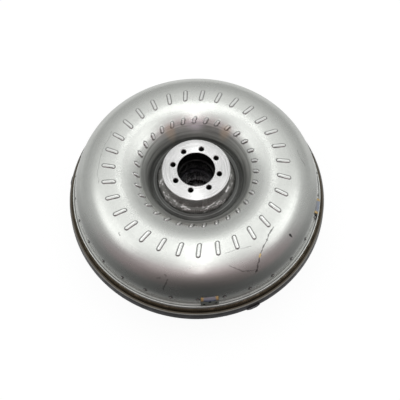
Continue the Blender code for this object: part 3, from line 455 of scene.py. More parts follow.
def cut(obj, cutter):
    """Take a helper mesh out of a piece for good."""
    tool = into_scene("cutter", cutter)
    modifier = obj.modifiers.new("Cut", "BOOLEAN")
    modifier.operation = "DIFFERENCE"
    modifier.solver = "EXACT"
    modifier.object = tool
    graph = bpy.context.evaluated_depsgraph_get()
    result = bpy.data.meshes.new_from_object(obj.evaluated_get(graph))
    obj.modifiers.remove(modifier)
    bpy.data.objects.remove(tool)
    result.name = obj.name
    result.shade_smooth()
    result.set_sharp_from_angle(angle=math.radians(35))
    obj.data = result


def build_impeller_hub():
    """The turned flange with its stepped bore and the threaded holes in its face."""
    step = HUB_FACE - BORE_DEPTH
    profile = rounded([
        (HUB_RADIUS, HUB_FACE, HUB_CHAMFER),
        (HUB_RADIUS, NECK_TOP, 0.0),
        (HUB_SEAT_RADIUS, NECK_TOP, 0.0),
        (HUB_SEAT_RADIUS, NECK_UNDERSIDE, 0.0005),
        (HUB_NOSE_RADIUS, NECK_UNDERSIDE, 0.0015),
        (HUB_NOSE_RADIUS, HUB_THRUST_FACE, 0.0006),
        (THROAT_RADIUS, HUB_THRUST_FACE, 0.0006),
        (THROAT_RADIUS, step, 0.0006),
        (BORE_RADIUS, step, 0.0004),
        (BORE_RADIUS, HUB_FACE, HUB_CHAMFER),
    ])
    mesh = finished(turned(profile, HUB_SEGMENTS))
    hub = add_mesh("impeller_hub_turning", mesh, "housing", "turned_steel", ["impeller_hub"], 35.0)
    outline = [(0, HUB_FACE + CUT), (BOLT_HOLE_RADIUS + HOLE_CHAMFER + CUT, HUB_FACE + CUT)]
    height = HUB_FACE - HOLE_CHAMFER
    while height > HUB_FACE - BOLT_HOLE_DEPTH + 2 * THREAD_PITCH:
        outline.append((BOLT_HOLE_RADIUS, height))
        outline.append((BOLT_HOLE_RADIUS + THREAD_DEPTH, height - THREAD_PITCH / 2))
        height -= THREAD_PITCH
    bottom = HUB_FACE - BOLT_HOLE_DEPTH
    outline += [(BOLT_HOLE_RADIUS, height), (BOLT_HOLE_RADIUS, bottom), (0, bottom - DRILL_POINT)]
    holes = bmesh.new()
    for hole in range(BOLT_HOLES):
        one = turned(outline, HOLE_SEGMENTS)
        turn = BOLT_PHASE + 2 * math.pi * hole / BOLT_HOLES
        bmesh.ops.translate(one, verts=one.verts, vec=at_angle(BOLT_CIRCLE_RADIUS, turn, 0))
        mesh = bpy.data.meshes.new("hole")
        one.to_mesh(mesh)
        one.free()
        holes.from_mesh(mesh)
        bpy.data.meshes.remove(mesh)
    cut(hub, finished(holes))
    return hub


def build_bead(name, radius, foot, width, height, slot, node, pitch, seed):
    """A fillet weld: a full face with the ripples of its pools, and wavering toes."""
    columns = int(2 * math.pi * radius / pitch) * BEAD_COLUMNS
    turn = np.linspace(0, 2 * math.pi, columns, endpoint=False)
    rows = np.linspace(0, 1, BEAD_ROWS)[:, None]
    generator = np.random.default_rng(seed)
    waver = np.zeros((2, columns))
    for order in BEAD_WAVES:
        phase = generator.uniform(0, 2 * math.pi, (2, 1))
        waver += np.sin(order * turn[None, :] + phase) / len(BEAD_WAVES)
    pool = turn[None, :] * columns / BEAD_COLUMNS / (2 * math.pi) + BEAD_CHEVRON * (2 * rows - 1) ** 2
    ripple = 1 - np.abs(2 * (pool % 1) - 1) ** 1.5
    bulge = np.sin(np.pi * rows)
    across = rows + BEAD_WAVER * waver[0] * bulge
    swell = BEAD_FULLNESS * bulge * (1 + BEAD_WAVER * waver[1])
    out = width * (across + swell) * BEAD_SHRINK
    up = height * (1 - across + swell) * BEAD_SHRINK
    lift = BEAD_RIPPLE * ripple * bulge
    face_r = radius - WELD_SINK + out + lift
    face_z = foot - WELD_SINK + up + lift
    corner_r = np.full((1, columns), radius - WELD_SINK)
    corner_z = np.full((1, columns), foot - WELD_SINK)
    angle = np.repeat(turn[None, :], BEAD_ROWS + 1, axis=0)
    mesh = grid_mesh(np.concatenate((face_r, corner_r)), np.concatenate((face_z, corner_z)), angle)
    return add_mesh(name, mesh, "housing", slot, [node], 50.0)


def lofted(sections):
    """Skin a row of closed sections that have the same number of points, and cap both ends."""
    mesh_data = bmesh.new()
    loops = [[mesh_data.verts.new(point) for point in section] for section in sections]
    for near, far in zip(loops, loops[1:]):
        for index in range(len(near)):
            follow = (index + 1) % len(near)
            mesh_data.faces.new((near[index], near[follow], far[follow], far[index]))
    mesh_data.faces.new(loops[0])
    mesh_data.faces.new(loops[-1][::-1])
    return mesh_data


def build_drive_lug(number):
    """A forged block on the cover's rim, with slanted ends and broken edges."""
    angle = LUG_PHASE + 2 * math.pi * (number - 1) / LUGS
    dish = SPLIT - COVER_FACE
    foot = RIM_HEIGHT + LUG_RISE - LUG_HEIGHT
    rest = CIRCUIT_RADIUS + dish * math.cos(math.asin((SPLIT - foot) / dish))
    inner = RIM_RADIUS - WELD_SINK
    shelf = CIRCUIT_RADIUS + dish * math.cos(DISH_END)
    half = LUG_WIDTH / 2 / RIM_RADIUS
    chamfer = LUG_CHAMFER / RIM_RADIUS
    ends = [(-half, LUG_END_SHARE)]
    ends += [(turn, 1.0) for turn in evenly(chamfer - half, half - chamfer, LUG_STEPS)]
    ends.append((half, LUG_END_SHARE))
    sections = []
    for offset, share in ends:
        outer = RIM_RADIUS + SEAT_GAP + LUG_REACH * share
        outline = [
            (inner, RIM_HEIGHT + LUG_RISE),
            (outer, RIM_HEIGHT + LUG_RISE),
            (outer, RIM_HEIGHT - LUG_LIP),
            (rest + LUG_FOOT, foot),
            (rest, foot),
            (shelf, SPLIT + dish * math.sin(DISH_END)),
            (inner, RIM_HEIGHT - LUG_SHELF),
        ]
        sections.append([at_angle(radius, angle + offset, height) for radius, height in outline])
    block = lofted(sections)
    bmesh.ops.recalc_face_normals(block, faces=block.faces)
    creases = [edge for edge in block.edges if edge.calc_face_angle(0.0) > math.radians(20)]
    bmesh.ops.bevel(block, geom=creases, offset=LUG_BEVEL, segments=3, profile=0.5, affect="EDGES")
    name = f"drive_lug_{number}_forging"
    return add_mesh(name, finished(block), "housing", "dark_steel", [f"drive_lug_{number}"], 30.0)


def build_balance_weight(number, angle):
    """A plate bent to the dome and welded on the ledge, bevelled on top, with three punched dimples."""
    heights = np.array([LEDGE, LEDGE + SEAT_GAP + WEIGHT_HEIGHT])
    first, last = np.arcsin(((heights - DOME_HEIGHT) / DOME_HALF_HEIGHT) ** (DOME_POWER / 2))
    wave = (1 - np.cos(np.linspace(0, math.pi, WEIGHT_ROWS))) / 2
    turns = first + (last - first) * (wave + np.linspace(0, 1, WEIGHT_ROWS)) / 2
    half = WEIGHT_LENGTH / 2 / SKIRT_RADIUS
    inner_r, inner_z, _, _ = dome_section(turns[::-1], WELD_SINK)
    _, row_z, _, _ = dome_section(turns)
    up = row_z - LEDGE
    bevel = np.clip((WEIGHT_FACE + WEIGHT_THICKNESS - up) / WEIGHT_THICKNESS, 0.0, 1.0)
    sections = []
    for turn in half * np.sin(np.linspace(-math.pi / 2, math.pi / 2, WEIGHT_COLUMNS)):
        from_end = (half - abs(turn)) * SKIRT_RADIUS - WEIGHT_ENDS
        to_edge = np.minimum(np.minimum(from_end, WEIGHT_FACE + WEIGHT_THICKNESS - up), WEIGHT_ROUND)
        from_round = WEIGHT_ROUND - np.maximum(to_edge, 0.0)
        corner = WEIGHT_ROUND - np.sqrt(WEIGHT_ROUND ** 2 - from_round ** 2)
        lift = np.where((bevel > 0.0) & (from_end > 0.0), (WEIGHT_THICKNESS - corner) * bevel, WEIGHT_LIP)
        for along, tall_up in WEIGHT_DIMPLES:
            away = np.hypot((turn - along * half) * SKIRT_RADIUS, up - tall_up)
            lift = lift - WEIGHT_DIMPLE_DEPTH * smooth_step(DIMPLE_FLOOR * (1 - away / WEIGHT_DIMPLE_RADIUS))
        outer_r, outer_z, _, _ = dome_section(turns, -lift)
        outline = list(zip(outer_r, outer_z)) + list(zip(inner_r, inner_z))
        sections.append([at_angle(radius, angle + turn, height) for radius, height in outline])
    name = f"balance_weight_{number}_bar"
    mesh = finished(lofted(sections))
    return add_mesh(name, mesh, "housing", "tinted_steel", [f"balance_weight_{number}"], 50.0)


def build_pilot_boss():
    """The turned boss under the cover, with the lathe's centre mark."""
    profile = [(0, PILOT_TOP + SEAT_GAP)]
    profile += rounded([
        (PILOT_RADIUS, PILOT_TOP + SEAT_GAP, 0.0),
        (PILOT_RADIUS, PILOT_CHAMFER, 0.0003),
        (PILOT_RADIUS - PILOT_CHAMFER, 0, 0.0003),
        (CENTRE_MARK, 0, 0.0),
    ])
    profile.append((0, CENTRE_MARK))
    mesh = finished(turned(profile, HUB_SEGMENTS))
    return add_mesh("pilot_boss_turning", mesh, "housing", "turned_steel", ["pilot_boss"], 30.0)


def build_camera():
    """The camera that the photograph was taken with."""
    data = bpy.data.cameras.new("photo_camera")
    data.sensor_width = SENSOR
    data.lens = FOCAL_PIXELS * SENSOR / PHOTO_PIXELS
    data.shift_x = 0.5 - TARGET_PIXEL[0] / PHOTO_PIXELS
    data.shift_y = TARGET_PIXEL[1] / PHOTO_PIXELS - 0.5
    camera = into_scene("photo_camera", data)
    back = Vector((0, -math.cos(CAMERA_ELEVATION), math.sin(CAMERA_ELEVATION)))
    right = Vector((1, 0, 0))
    facing = Matrix((right, back.cross(right), back)).transposed().to_4x4()
    place = Vector((0, 0, TARGET_HEIGHT)) + back * CAMERA_DISTANCE
    camera.matrix_world = Matrix.Translation(place) @ facing @ Matrix.Rotation(CAMERA_ROLL, 4, "Z")
    bpy.context.scene.camera = camera


class Nodes:
    """A node tree that grows by one node a call. Each call returns the new node's output."""

    def __init__(self, tree):
        self.tree = tree
        self.tree.nodes.clear()

    def add(self, kind, inputs=None, output=0, **settings):
        made = self.tree.nodes.new("ShaderNode" + kind)
        for name, value in settings.items():
            setattr(made, name, value)
        for name, value in (inputs or {}).items():
            if isinstance(value, bpy.types.NodeSocket):
                self.tree.links.new(value, made.inputs[name])
            else:
                made.inputs[name].default_value = value
        return made.outputs[output] if made.outputs else None

    def math(self, operation, first, second=0.0, third=0.0, clamp=False):
        return self.add("Math", {0: first, 1: second, 2: third}, operation=operation, use_clamp=clamp)

    def vector(self, operation, first, second=(0, 0, 0), output=0):
        return self.add("VectorMath", {0: first, 1: second}, output, operation=operation)

    def ramp(self, value, stops, ease="LINEAR"):
        """A colour ramp from (position, colour or grey level) stops."""
        colours = self.add("ValToRGB", {0: value})
        ramp = colours.node.color_ramp
        ramp.interpolation = ease
        while len(ramp.elements) < len(stops):
            ramp.elements.new(0.5)
        for element, (position, colour) in zip(ramp.elements, stops):
            element.position = position
            level = colour if isinstance(colour, tuple) else (colour,) * 3
            element.color = (*level, 1.0)
        return colours

    def span(self, value, low, high, to_low=0.0, to_high=1.0, smooth=False):
        """Map a value from one range to another, held at the ends."""
        inputs = {0: value, 1: low, 2: high, 3: to_low, 4: to_high}
        return self.add("MapRange", inputs, interpolation_type="SMOOTHSTEP" if smooth else "LINEAR")

    def noise(self, place, scale, detail=3.0, roughness=0.55, distortion=0.0):
        inputs = {"Vector": place, "Scale": scale, "Detail": detail, "Roughness": roughness,
                  "Distortion": distortion}
        return self.add("TexNoise", inputs)

    def mix(self, share, first, second, blend="MIX"):
        return self.add("Mix", {0: share, 6: first, 7: second}, 2, data_type="RGBA", blend_type=blend)

    def bump(self, height, distance, strength=1.0, below=None):
        inputs = {"Height": height, "Distance": distance, "Strength": strength}
        if below:
            inputs["Normal"] = below
        return self.add("Bump", inputs)


def grey(level):
    return (level, level, level, 1.0)


# Light of the room, as (sine of the height, level) and (way back, colour)
SKY_BY_HEIGHT = ((0.0, 0.42), (0.35, 0.46), (0.60, 0.52), (0.72, 0.66), (0.83, 0.74), (0.876, 0.90),
                 (0.92, 1.20), (1.0, 1.25))
ROOM_BY_DEPTH = ((-1.0, (0.14, 0.13, 0.13)), (-0.92, (0.22, 0.19, 0.19)), (-0.78, (0.36, 0.30, 0.30)),
                 (-0.60, (0.56, 0.46, 0.475)), (-0.40, (0.66, 0.565, 0.58)), (-0.26, (0.73, 0.67, 0.69)),
                 (-0.10, (0.89, 0.88, 0.88)), (0.05, (1.0, 1.0, 1.0)))
OFF_CENTRE_DIP = 0.34
SOFTBOXES = ((0.48, 0.20, 0.855), (-0.48, 0.20, 0.855))
SOFTBOX_LIGHT = 0.40
SOFTBOX_SPREAD = (0.95, 0.99)
FLOOR_BY_DEPTH = ((-1.0, 0.055), (-0.7, 0.12), (-0.35, 0.22), (0.0, 0.36), (0.5, 0.60), (1.0, 0.72))
DIFFUSE_SKY = 0.80


def half_range(stops):
    """Move stops from -1..1 to the 0..1 of a ramp."""
    return [((place + 1) / 2, level) for place, level in stops]


def build_world():
    """A white room. Metal sees it lit from above and behind, and dark where the photographer stands."""
    world = bpy.data.worlds.new("room")
    bpy.context.scene.world = world
    world.use_nodes = True
    nodes = Nodes(world.node_tree)
    direction = nodes.add("TexCoord", output="Generated")
    depth = nodes.add("SeparateXYZ", {0: direction}, "Y")
    height = nodes.add("SeparateXYZ", {0: direction}, "Z")
    sky = nodes.ramp(height, SKY_BY_HEIGHT)
    room = nodes.ramp(nodes.span(depth, -1, 1), half_range(ROOM_BY_DEPTH))
    across = nodes.math("ABSOLUTE", nodes.add("SeparateXYZ", {0: direction}, "X"))
    high = nodes.span(height, 0.85, 0.96)
    dip = nodes.math("MULTIPLY", nodes.span(across, 0.05, 0.22, 0.0, OFF_CENTRE_DIP, True), high)
    level = nodes.math("SUBTRACT", 1.0, dip)
    for box in SOFTBOXES:
        facing = nodes.vector("DOT_PRODUCT", direction, box, "Value")
        glow = nodes.span(facing, *SOFTBOX_SPREAD, 0.0, SOFTBOX_LIGHT, True)
        level = nodes.math("ADD", level, glow)
    seen_in_metal = nodes.mix(1.0, nodes.mix(1.0, sky, level, "MULTIPLY"), room, "MULTIPLY")
    rays = nodes.add("LightPath", output="Is Camera Ray")
    through = rays.node.outputs["Is Transmission Ray"]
    in_metal = rays.node.outputs["Is Glossy Ray"]
    seen = nodes.math("MAXIMUM", rays, through)
    light = nodes.mix(in_metal, grey(DIFFUSE_SKY), seen_in_metal)
    colour = nodes.mix(seen, light, grey(1.0))
    background = nodes.add("Background", {"Color": colour, "Strength": 1.0})
    nodes.add("OutputWorld", {"Surface": background})


# Soft lamps, as (name, place, width, depth, power in watts)
LAMPS = (
    ("overhead_lamp", (0.0, -0.10, 2.2), 0.08, 2.8, 1.6),
    ("left_lamp", (-0.95, 0.0, 1.32), 0.9, 0.35, 0.55),
    ("right_lamp", (0.95, 0.0, 1.32), 0.9, 0.35, 0.55),
)
LAMP_TARGET = (0, 0, 0.07)


def build_lamps():
    for name, place, width, depth, power in LAMPS:
        data = bpy.data.lights.new(name, "AREA")
        data.shape = "RECTANGLE"
        data.size = width
        data.size_y = depth
        data.energy = power
        lamp = into_scene(name, data)
        towards = Vector(LAMP_TARGET) - Vector(place)
        lamp.rotation_euler = towards.to_track_quat("-Z", "Y").to_euler()
        lamp.location = place


FLOOR_RADIUS = 8.0
FLOOR_SEGMENTS = 64
FLOOR_BOUNCE = 0.8
FLOOR_GAP = 0.0002
FLOOR_GLOW = 0.90
FLOOR_COLOUR = 0.14
FLOOR_NEAR = (0.19, 0.28)
FLOOR_NEAR_GLOW = ((-1.0, 0.28), (-0.6, 0.34), (-0.2, 0.62), (0.2, 0.62))


def build_floor():
    """A white floor that keeps a soft shadow and is clear from below.

    Metal sees it dark on the photographer's side, and lit close to the part.
    """
    mesh_data = bmesh.new()
    bmesh.ops.create_circle(mesh_data, cap_ends=True, radius=FLOOR_RADIUS, segments=FLOOR_SEGMENTS)
    mesh = bpy.data.meshes.new("floor")
    mesh_data.to_mesh(mesh)
    mesh_data.free()
    floor = into_scene("floor", mesh)
    floor.location.z = -FLOOR_GAP
    finish = bpy.data.materials.new("floor_paper")
    finish.use_nodes = True
    nodes = Nodes(finish.node_tree)
    place = nodes.add("NewGeometry", output="Position")
    away = nodes.vector("NORMALIZE", place)
    depth = nodes.add("SeparateXYZ", {0: away}, "Y")
    in_metal = nodes.ramp(nodes.span(depth, -1, 1), half_range(FLOOR_BY_DEPTH))
    glow = nodes.add("Emission", {"Color": grey(FLOOR_GLOW)})
    paper = nodes.add("BsdfDiffuse", {"Color": grey(FLOOR_COLOUR)})
    seen = nodes.add("AddShader", {0: glow, 1: paper})
    close = nodes.span(nodes.vector("LENGTH", place, output="Value"), *FLOOR_NEAR, 1.0, 0.0, True)
    lit = nodes.ramp(nodes.span(depth, -1, 1), half_range(FLOOR_NEAR_GLOW))
    in_metal = nodes.vector("ADD", in_metal, tinted(nodes, lit, close))
    reflected = nodes.add("Emission", {"Color": in_metal})
    plain = nodes.add("BsdfDiffuse", {"Color": grey(FLOOR_BOUNCE)})
    rays = nodes.add("LightPath", output="Is Camera Ray")
    through = rays.node.outputs["Is Transmission Ray"]
    glossy = rays.node.outputs["Is Glossy Ray"]
    light = nodes.add("MixShader", {0: glossy, 1: plain, 2: reflected})
    whole = nodes.add("MixShader", {0: nodes.math("MAXIMUM", rays, through), 1: light, 2: seen})
    from_below = nodes.add("NewGeometry", output="Backfacing")
    open_below = nodes.add("MixShader", {0: from_below, 1: whole, 2: nodes.add("BsdfTransparent")})
    nodes.add("OutputMaterial", {"Surface": open_below})
    floor.data.materials.append(finish)
    floor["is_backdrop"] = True


def fresh(name):
    """A new material, its empty node tree, and the place on the object that its patterns follow."""
    finish = bpy.data.materials.new(name)
    finish.use_nodes = True
    nodes = Nodes(finish.node_tree)
    return finish, nodes, nodes.add("TexCoord", output="Object")


def product(nodes, *values):
    """All the values multiplied together."""
    whole = values[0]
    for value in values[1:]:
        whole = nodes.math("MULTIPLY", whole, value)
    return whole


def tinted(nodes, colour, level):
    """A colour made lighter or darker by a level."""
    tone = nodes.vector("SCALE", colour)
    nodes.tree.links.new(level, tone.node.inputs["Scale"])
    return tone


def away_from(nodes, value, line):
    """How far a value is from a line, on either side."""
    return nodes.math("ABSOLUTE", nodes.math("SUBTRACT", value, line))


def round_axis(nodes, place):
    """The place in plan, and its radius, angle and height about the shaft axis."""
    plan = nodes.vector("MULTIPLY", place, (1, 1, 0))
    radius = nodes.vector("LENGTH", plan, output="Value")
    across = nodes.add("SeparateXYZ", {0: place})
    parts = across.node.outputs
    angle = nodes.math("ARCTAN2", parts["Y"], parts["X"])
    return plan, radius, angle, parts["Z"]


def stops_between(low, high, *stops):
    """Stops given as (size, level), moved to the 0..1 of a ramp that spans low to high."""
    return [((size - low) / (high - low), level) for size, level in stops]


def rings(nodes, radius, angle, pitch, drift):
    """Uneven grooves round the axis, as a lathe leaves them, that drift slowly with the angle."""
    along = nodes.add("CombineXYZ", {
        "X": nodes.math("MULTIPLY", radius, 1 / pitch),
        "Y": nodes.math("MULTIPLY", nodes.math("SINE", angle), drift),
        "Z": nodes.math("MULTIPLY", nodes.math("COSINE", angle), drift)})
    return nodes.noise(along, 1.0, 3.0, 0.6)


def stroke(nodes, plan, points, width, ragged=1.0):
    """1 on a scratch through some places in plan, and 0 away from it."""
    nearest = None
    for start, stop in zip(points, points[1:]):
        way = Vector((*stop, 0)) - Vector((*start, 0))
        reach = nodes.vector("SUBTRACT", plan, (*start, 0))
        share = nodes.vector("DOT_PRODUCT", reach, tuple(way / way.length_squared), "Value")
        share = nodes.math("MULTIPLY", share, 1.0, clamp=True)
        along = tinted(nodes, tuple(way), share)
        away = nodes.vector("DISTANCE", reach, along, "Value")
        nearest = nodes.math("MINIMUM", nearest, away) if nearest else away
    return nodes.span(nodes.math("MULTIPLY", nearest, ragged), width / 2, width, 1.0, 0.0)


def metal(name, colour, roughness, mottle=0.10, patch=60.0, grain=900.0, grain_depth=0.00002):
    """A plain metal with cloudy colour, uneven gloss and a fine grain."""
    finish, nodes, place = fresh(name)
    cloud = nodes.noise(place, patch, 6.0, 0.6)
    fine = nodes.noise(place, grain, 3.0, 0.5)
    tone = tinted(nodes, colour, nodes.span(cloud, 0.3, 0.7, 1 - mottle, 1 + mottle))
    rough = nodes.span(cloud, 0.3, 0.7, roughness + 0.05, roughness - 0.05)
    shader = nodes.add("BsdfPrincipled", {
        "Base Color": tone, "Metallic": 1.0, "Roughness": rough, "Normal": nodes.bump(fine, grain_depth)})
    nodes.add("OutputMaterial", {"Surface": shader})
    return finish


# Marks of use on the shell, as places in plan: (points, width, darkness)
SCRATCHES = (
    (((0.0930, -0.0855), (0.0887, -0.0919), (0.0845, -0.0994), (0.0803, -0.1080), (0.0765, -0.1160),
      (0.0738, -0.1225), (0.0722, -0.1300), (0.0712, -0.1366)), 0.0012, 0.66),
    (((0.0704, -0.1360), (0.0620, -0.1376), (0.0520, -0.1376), (0.0440, -0.1355), (0.0380, -0.1320)),
     0.0009, 0.38),
    (((0.0712, -0.1366), (0.0700, -0.1380)), 0.0018, 0.70),
    (((0.1148, -0.0931), (0.1152, -0.0935)), 0.0024, 0.85),
    (((0.0640, -0.1090), (0.0440, -0.1150), (0.0330, -0.1185)), 0.0010, 0.25),
    (((-0.0366, -0.1453), (-0.0394, -0.1508), (-0.0423, -0.1548)), 0.0012, 0.45),
    (((-0.0500, -0.1435), (-0.0460, -0.1437)), 0.0016, 0.25),
    (((-0.0395, -0.1405), (-0.0385, -0.1415)), 0.0014, 0.30),
    (((-0.1130, 0.0591), (-0.1180, 0.0402), (-0.1241, 0.0298), (-0.1265, 0.0147), (-0.1276, -0.0002),
      (-0.1258, -0.0191)), 0.0008, 0.22),
    (((0.1342, 0.0242), (0.1384, 0.0124), (0.1427, 0.0013)), 0.0009, 0.25),
    (((-0.0958, -0.0909), (-0.0972, -0.0880)), 0.0016, 0.45),
)
STRAW_TINTS = ((-0.0345, 0.0640), (0.0410, 0.0610))
# A painted highlight: a purple-white streak across the far side of the collar, its centre in plan and its
# reach
PAINTED_STREAK_CENTRE = (0.0005, 0.0735)
PAINTED_STREAK_REACH = (0.019, 0.0085)
# A painted highlight: a short gold mark along the long scratch
GOLD_HIGHLIGHT_SPOT = ((0.0752, -0.1190), (0.0742, -0.1215))

# Bands of the shell's finish, as radii, some for painted highlight and shade by the neck, and the tones of
# the two large bright pieces
LEDGE_BAND = (0.1655, 0.1668)
NECK_TOE = 0.0572
NECK_CREASE = 0.0630
RIM_LINE = 0.1687
SHELL_TONE = (0.762, 0.780, 0.746)
HUB_TONE = (0.74, 0.74, 0.735)
ACROSS_THE_GRAIN = 0.25


def shell_finish():
    """Bright pressed steel: lathe marks, scratches, heat tints, a dull ledge, and painted shade and
    highlights.
    """
    finish, nodes, place = fresh("pressed_steel_shell")
    plan, radius, angle, height = round_axis(nodes, place)
    cloud = nodes.noise(place, 22.0, 5.0, 0.6)
    fine = nodes.noise(place, 260.0, 3.0, 0.6)
    groove = rings(nodes, radius, angle, 0.0011, 2.0)
    waver = nodes.math("MULTIPLY_ADD", cloud, 0.003, -0.0015)
    # Painted shade: the collar darkens towards the hub and eases out to a slightly lighter band on the
    # turned slope; its lathe rings are the metal's own
    collar = nodes.ramp(
        nodes.span(nodes.math("ADD", radius, waver), 0.058, 0.086),
        stops_between(0.058, 0.086, (0.058, 0.36), (0.064, 0.46), (0.0700, 0.56), (0.0722, 0.66),
                      (0.0740, 1.02), (0.0780, 1.14), (0.0860, 1.0)))
    # Painted shade on the flat neck, a thin painted highlight ring just outside the hub weld, and painted
    # shade in the crease where the neck meets the dome
    flat = nodes.span(radius, 0.0590, 0.0612, 0.46, 1.0, True)
    toe = nodes.span(away_from(nodes, radius, NECK_TOE), 0.0002, 0.0006, 2.2, 1.0)
    crease = nodes.span(away_from(nodes, radius, NECK_CREASE), 0.0004, 0.0013, 0.62, 1.0)
    coarse = nodes.span(rings(nodes, radius, angle, 0.0021, 0.8), 0.38, 0.62, 0.70, 1.22)
    coarse = nodes.mix(nodes.span(radius, 0.074, 0.080), coarse, grey(1.0))
    collar = tinted(nodes, collar, product(nodes, flat, toe, crease, coarse))
    on_top = nodes.span(height, NECK_UNDERSIDE, NECK_UNDERSIDE + 0.001)
    collar = nodes.mix(on_top, grey(1.0), collar)
    # The ledge is darker, and painted shade darkens it further towards the front
    front_painted_shade = nodes.span(nodes.add("SeparateXYZ", {0: plan}, "Y"), -0.15, 0.02, 0.66, 0.80, True)
    ledge = nodes.span(radius, *LEDGE_BAND, 1.0, 0.0, True)
    ledge = nodes.math("MAXIMUM", ledge, front_painted_shade)
    step = nodes.span(away_from(nodes, radius, RIM_LINE), 0.0003, 0.0009, 0.30, 1.0)
    edge = nodes.span(radius, 0.1697, 0.1702, 0.0, 0.35)
    # Painted shade round the foot of each tab, deeper at the rim tabs
    foot = nodes.add("Attribute", attribute_name="tab_foot", output="Fac")
    crest = nodes.add("Attribute", attribute_name="tab_crest", output="Fac")
    at_rim = nodes.span(radius, 0.155, 0.160)
    tab_foot_shade = nodes.span(foot, 0.15, 0.95, 1.0, nodes.span(at_rim, 0.0, 1.0, 0.57, 0.25))
    shade = product(nodes, nodes.span(cloud, 0.3, 0.7, 0.94, 1.04), nodes.span(fine, 0.3, 0.7, 0.97, 1.02),
                    nodes.span(groove, 0.3, 0.7, 0.965, 1.02), nodes.math("ADD", ledge, edge), step, tab_foot_shade)
    drift = nodes.add("TexNoise", {"Vector": plan, "Scale": 90.0, "Detail": 3.0}, "Color")
    drift = nodes.vector("MULTIPLY", nodes.vector("SUBTRACT", drift, (0.5, 0.5, 0.5)), (0.006, 0.006, 0.0))
    wandering = nodes.vector("ADD", plan, drift)
    ragged = nodes.span(nodes.noise(plan, 260.0, 2.0), 0.35, 0.65, 0.7, 2.2)
    for points, width, darkness in SCRATCHES:
        mark = stroke(nodes, wandering, points, width, ragged)
        shade = product(nodes, shade, nodes.math("MULTIPLY_ADD", mark, -darkness, 1.0))
    tone = tinted(nodes, SHELL_TONE, shade)
    tone = nodes.mix(1.0, tone, collar, "MULTIPLY")
    # Painted highlight: the tabs' tops are lightened towards white, most on the neck ring of tabs and not
    # close to the hub
    crest_painted_highlight = nodes.math("MULTIPLY", crest, nodes.span(radius, 0.085, 0.100, 0.90, 0.35))
    bright = nodes.mix(crest_painted_highlight, tone, (0.95, 0.95, 0.95, 1.0))
    tone = nodes.mix(nodes.span(radius, 0.060, 0.075), tone, bright)
    for spot in STRAW_TINTS:
        away = nodes.vector("DISTANCE", plan, (*spot, 0), "Value")
        near = nodes.span(away, 0.002, 0.011, 0.45, 0.0, True)
        tone = nodes.mix(near, tone, (0.80, 0.62, 0.44, 1.0))
    # Painted highlight: a purple-white streak lightens the far side of the collar
    off = nodes.vector("SUBTRACT", plan, (*PAINTED_STREAK_CENTRE, 0))
    off = nodes.vector("MULTIPLY", off, (1 / PAINTED_STREAK_REACH[0], 1 / PAINTED_STREAK_REACH[1], 0))
    painted_streak = nodes.span(nodes.vector("LENGTH", off, output="Value"), 0.0, 1.0, 1.0, 0.0, True)
    tone = nodes.mix(painted_streak, tone, (1.60, 1.48, 1.64, 1.0), "MULTIPLY")
    # Painted highlight in gold along part of the long scratch
    gold_painted_highlight = stroke(nodes, plan, GOLD_HIGHLIGHT_SPOT, 0.0016)
    tone = nodes.mix(gold_painted_highlight, tone, (1.0, 0.84, 0.45, 1.0))
    # Painted shade: a purplish dark at the very foot of each tab
    tone = nodes.mix(nodes.span(foot, 0.5, 1.0, 0.0, 0.35), tone, (0.22, 0.17, 0.22, 1.0))
    dull = nodes.span(radius, *LEDGE_BAND, 0.0, 0.20)
    turned_slope = nodes.span(radius, 0.070, 0.079, 1.0, 0.0, True)
    rough = nodes.math("ADD", nodes.span(cloud, 0.3, 0.7, 0.29, 0.24), dull)
    rough = nodes.math("ADD", rough, nodes.math("MULTIPLY", turned_slope, 0.12))
    brushed = nodes.math("MULTIPLY_ADD", turned_slope, 0.55, 0.40)
    normal = nodes.bump(groove, 0.00001, nodes.span(radius, 0.080, 0.100, 0.40, 0.12))
    shader = nodes.add("BsdfPrincipled", {
        "Base Color": tone, "Metallic": 1.0, "Roughness": rough,
        "Anisotropic": brushed, "Anisotropic Rotation": ACROSS_THE_GRAIN,
        "Tangent": nodes.add("Tangent", direction_type="RADIAL", axis="Z"), "Normal": normal})
    nodes.add("OutputMaterial", {"Surface": shader})
    return finish


def hub_finish():
    """A face-turned flange: bright rings on the face, and oil and painted shade that darken the holes and
    the bore.
    """
    finish, nodes, place = fresh("turned_steel_hub")
    _, radius, angle, height = round_axis(nodes, place)
    cloud = nodes.noise(place, 60.0, 5.0, 0.6)
    groove = rings(nodes, radius, angle, 0.0006, 1.5)
    # Below the face, oil and painted shade darken the bore and the holes; the side is a little darker
    inside = nodes.ramp(
        nodes.span(radius, 0.020, 0.050),
        stops_between(0.020, 0.050, (0.020, 0.022), (0.0251, 0.022), (0.0256, 0.085), (0.0400, 0.085),
                      (0.0440, 0.80), (0.0500, 0.45)))
    below = nodes.span(height, HUB_FACE - 0.0012, HUB_FACE - 0.0007, 1.0, 0.0)
    level = product(nodes, nodes.span(cloud, 0.3, 0.7, 0.96, 1.03),
                    nodes.span(groove, 0.35, 0.65, 0.80, 1.12))
    tone = tinted(nodes, HUB_TONE, level)
    tone = nodes.mix(below, tone, nodes.mix(1.0, inside, (1.0, 0.97, 0.95, 1.0), "MULTIPLY"))
    shader = nodes.add("BsdfPrincipled", {
        "Base Color": tone, "Metallic": 1.0, "Roughness": nodes.span(groove, 0.3, 0.7, 0.20, 0.28),
        "Anisotropic": 0.95, "Anisotropic Rotation": ACROSS_THE_GRAIN,
        "Tangent": nodes.add("Tangent", direction_type="RADIAL", axis="Z"),
        "Normal": nodes.bump(groove, 0.00002, 0.5)})
    nodes.add("OutputMaterial", {"Surface": shader})
    return finish


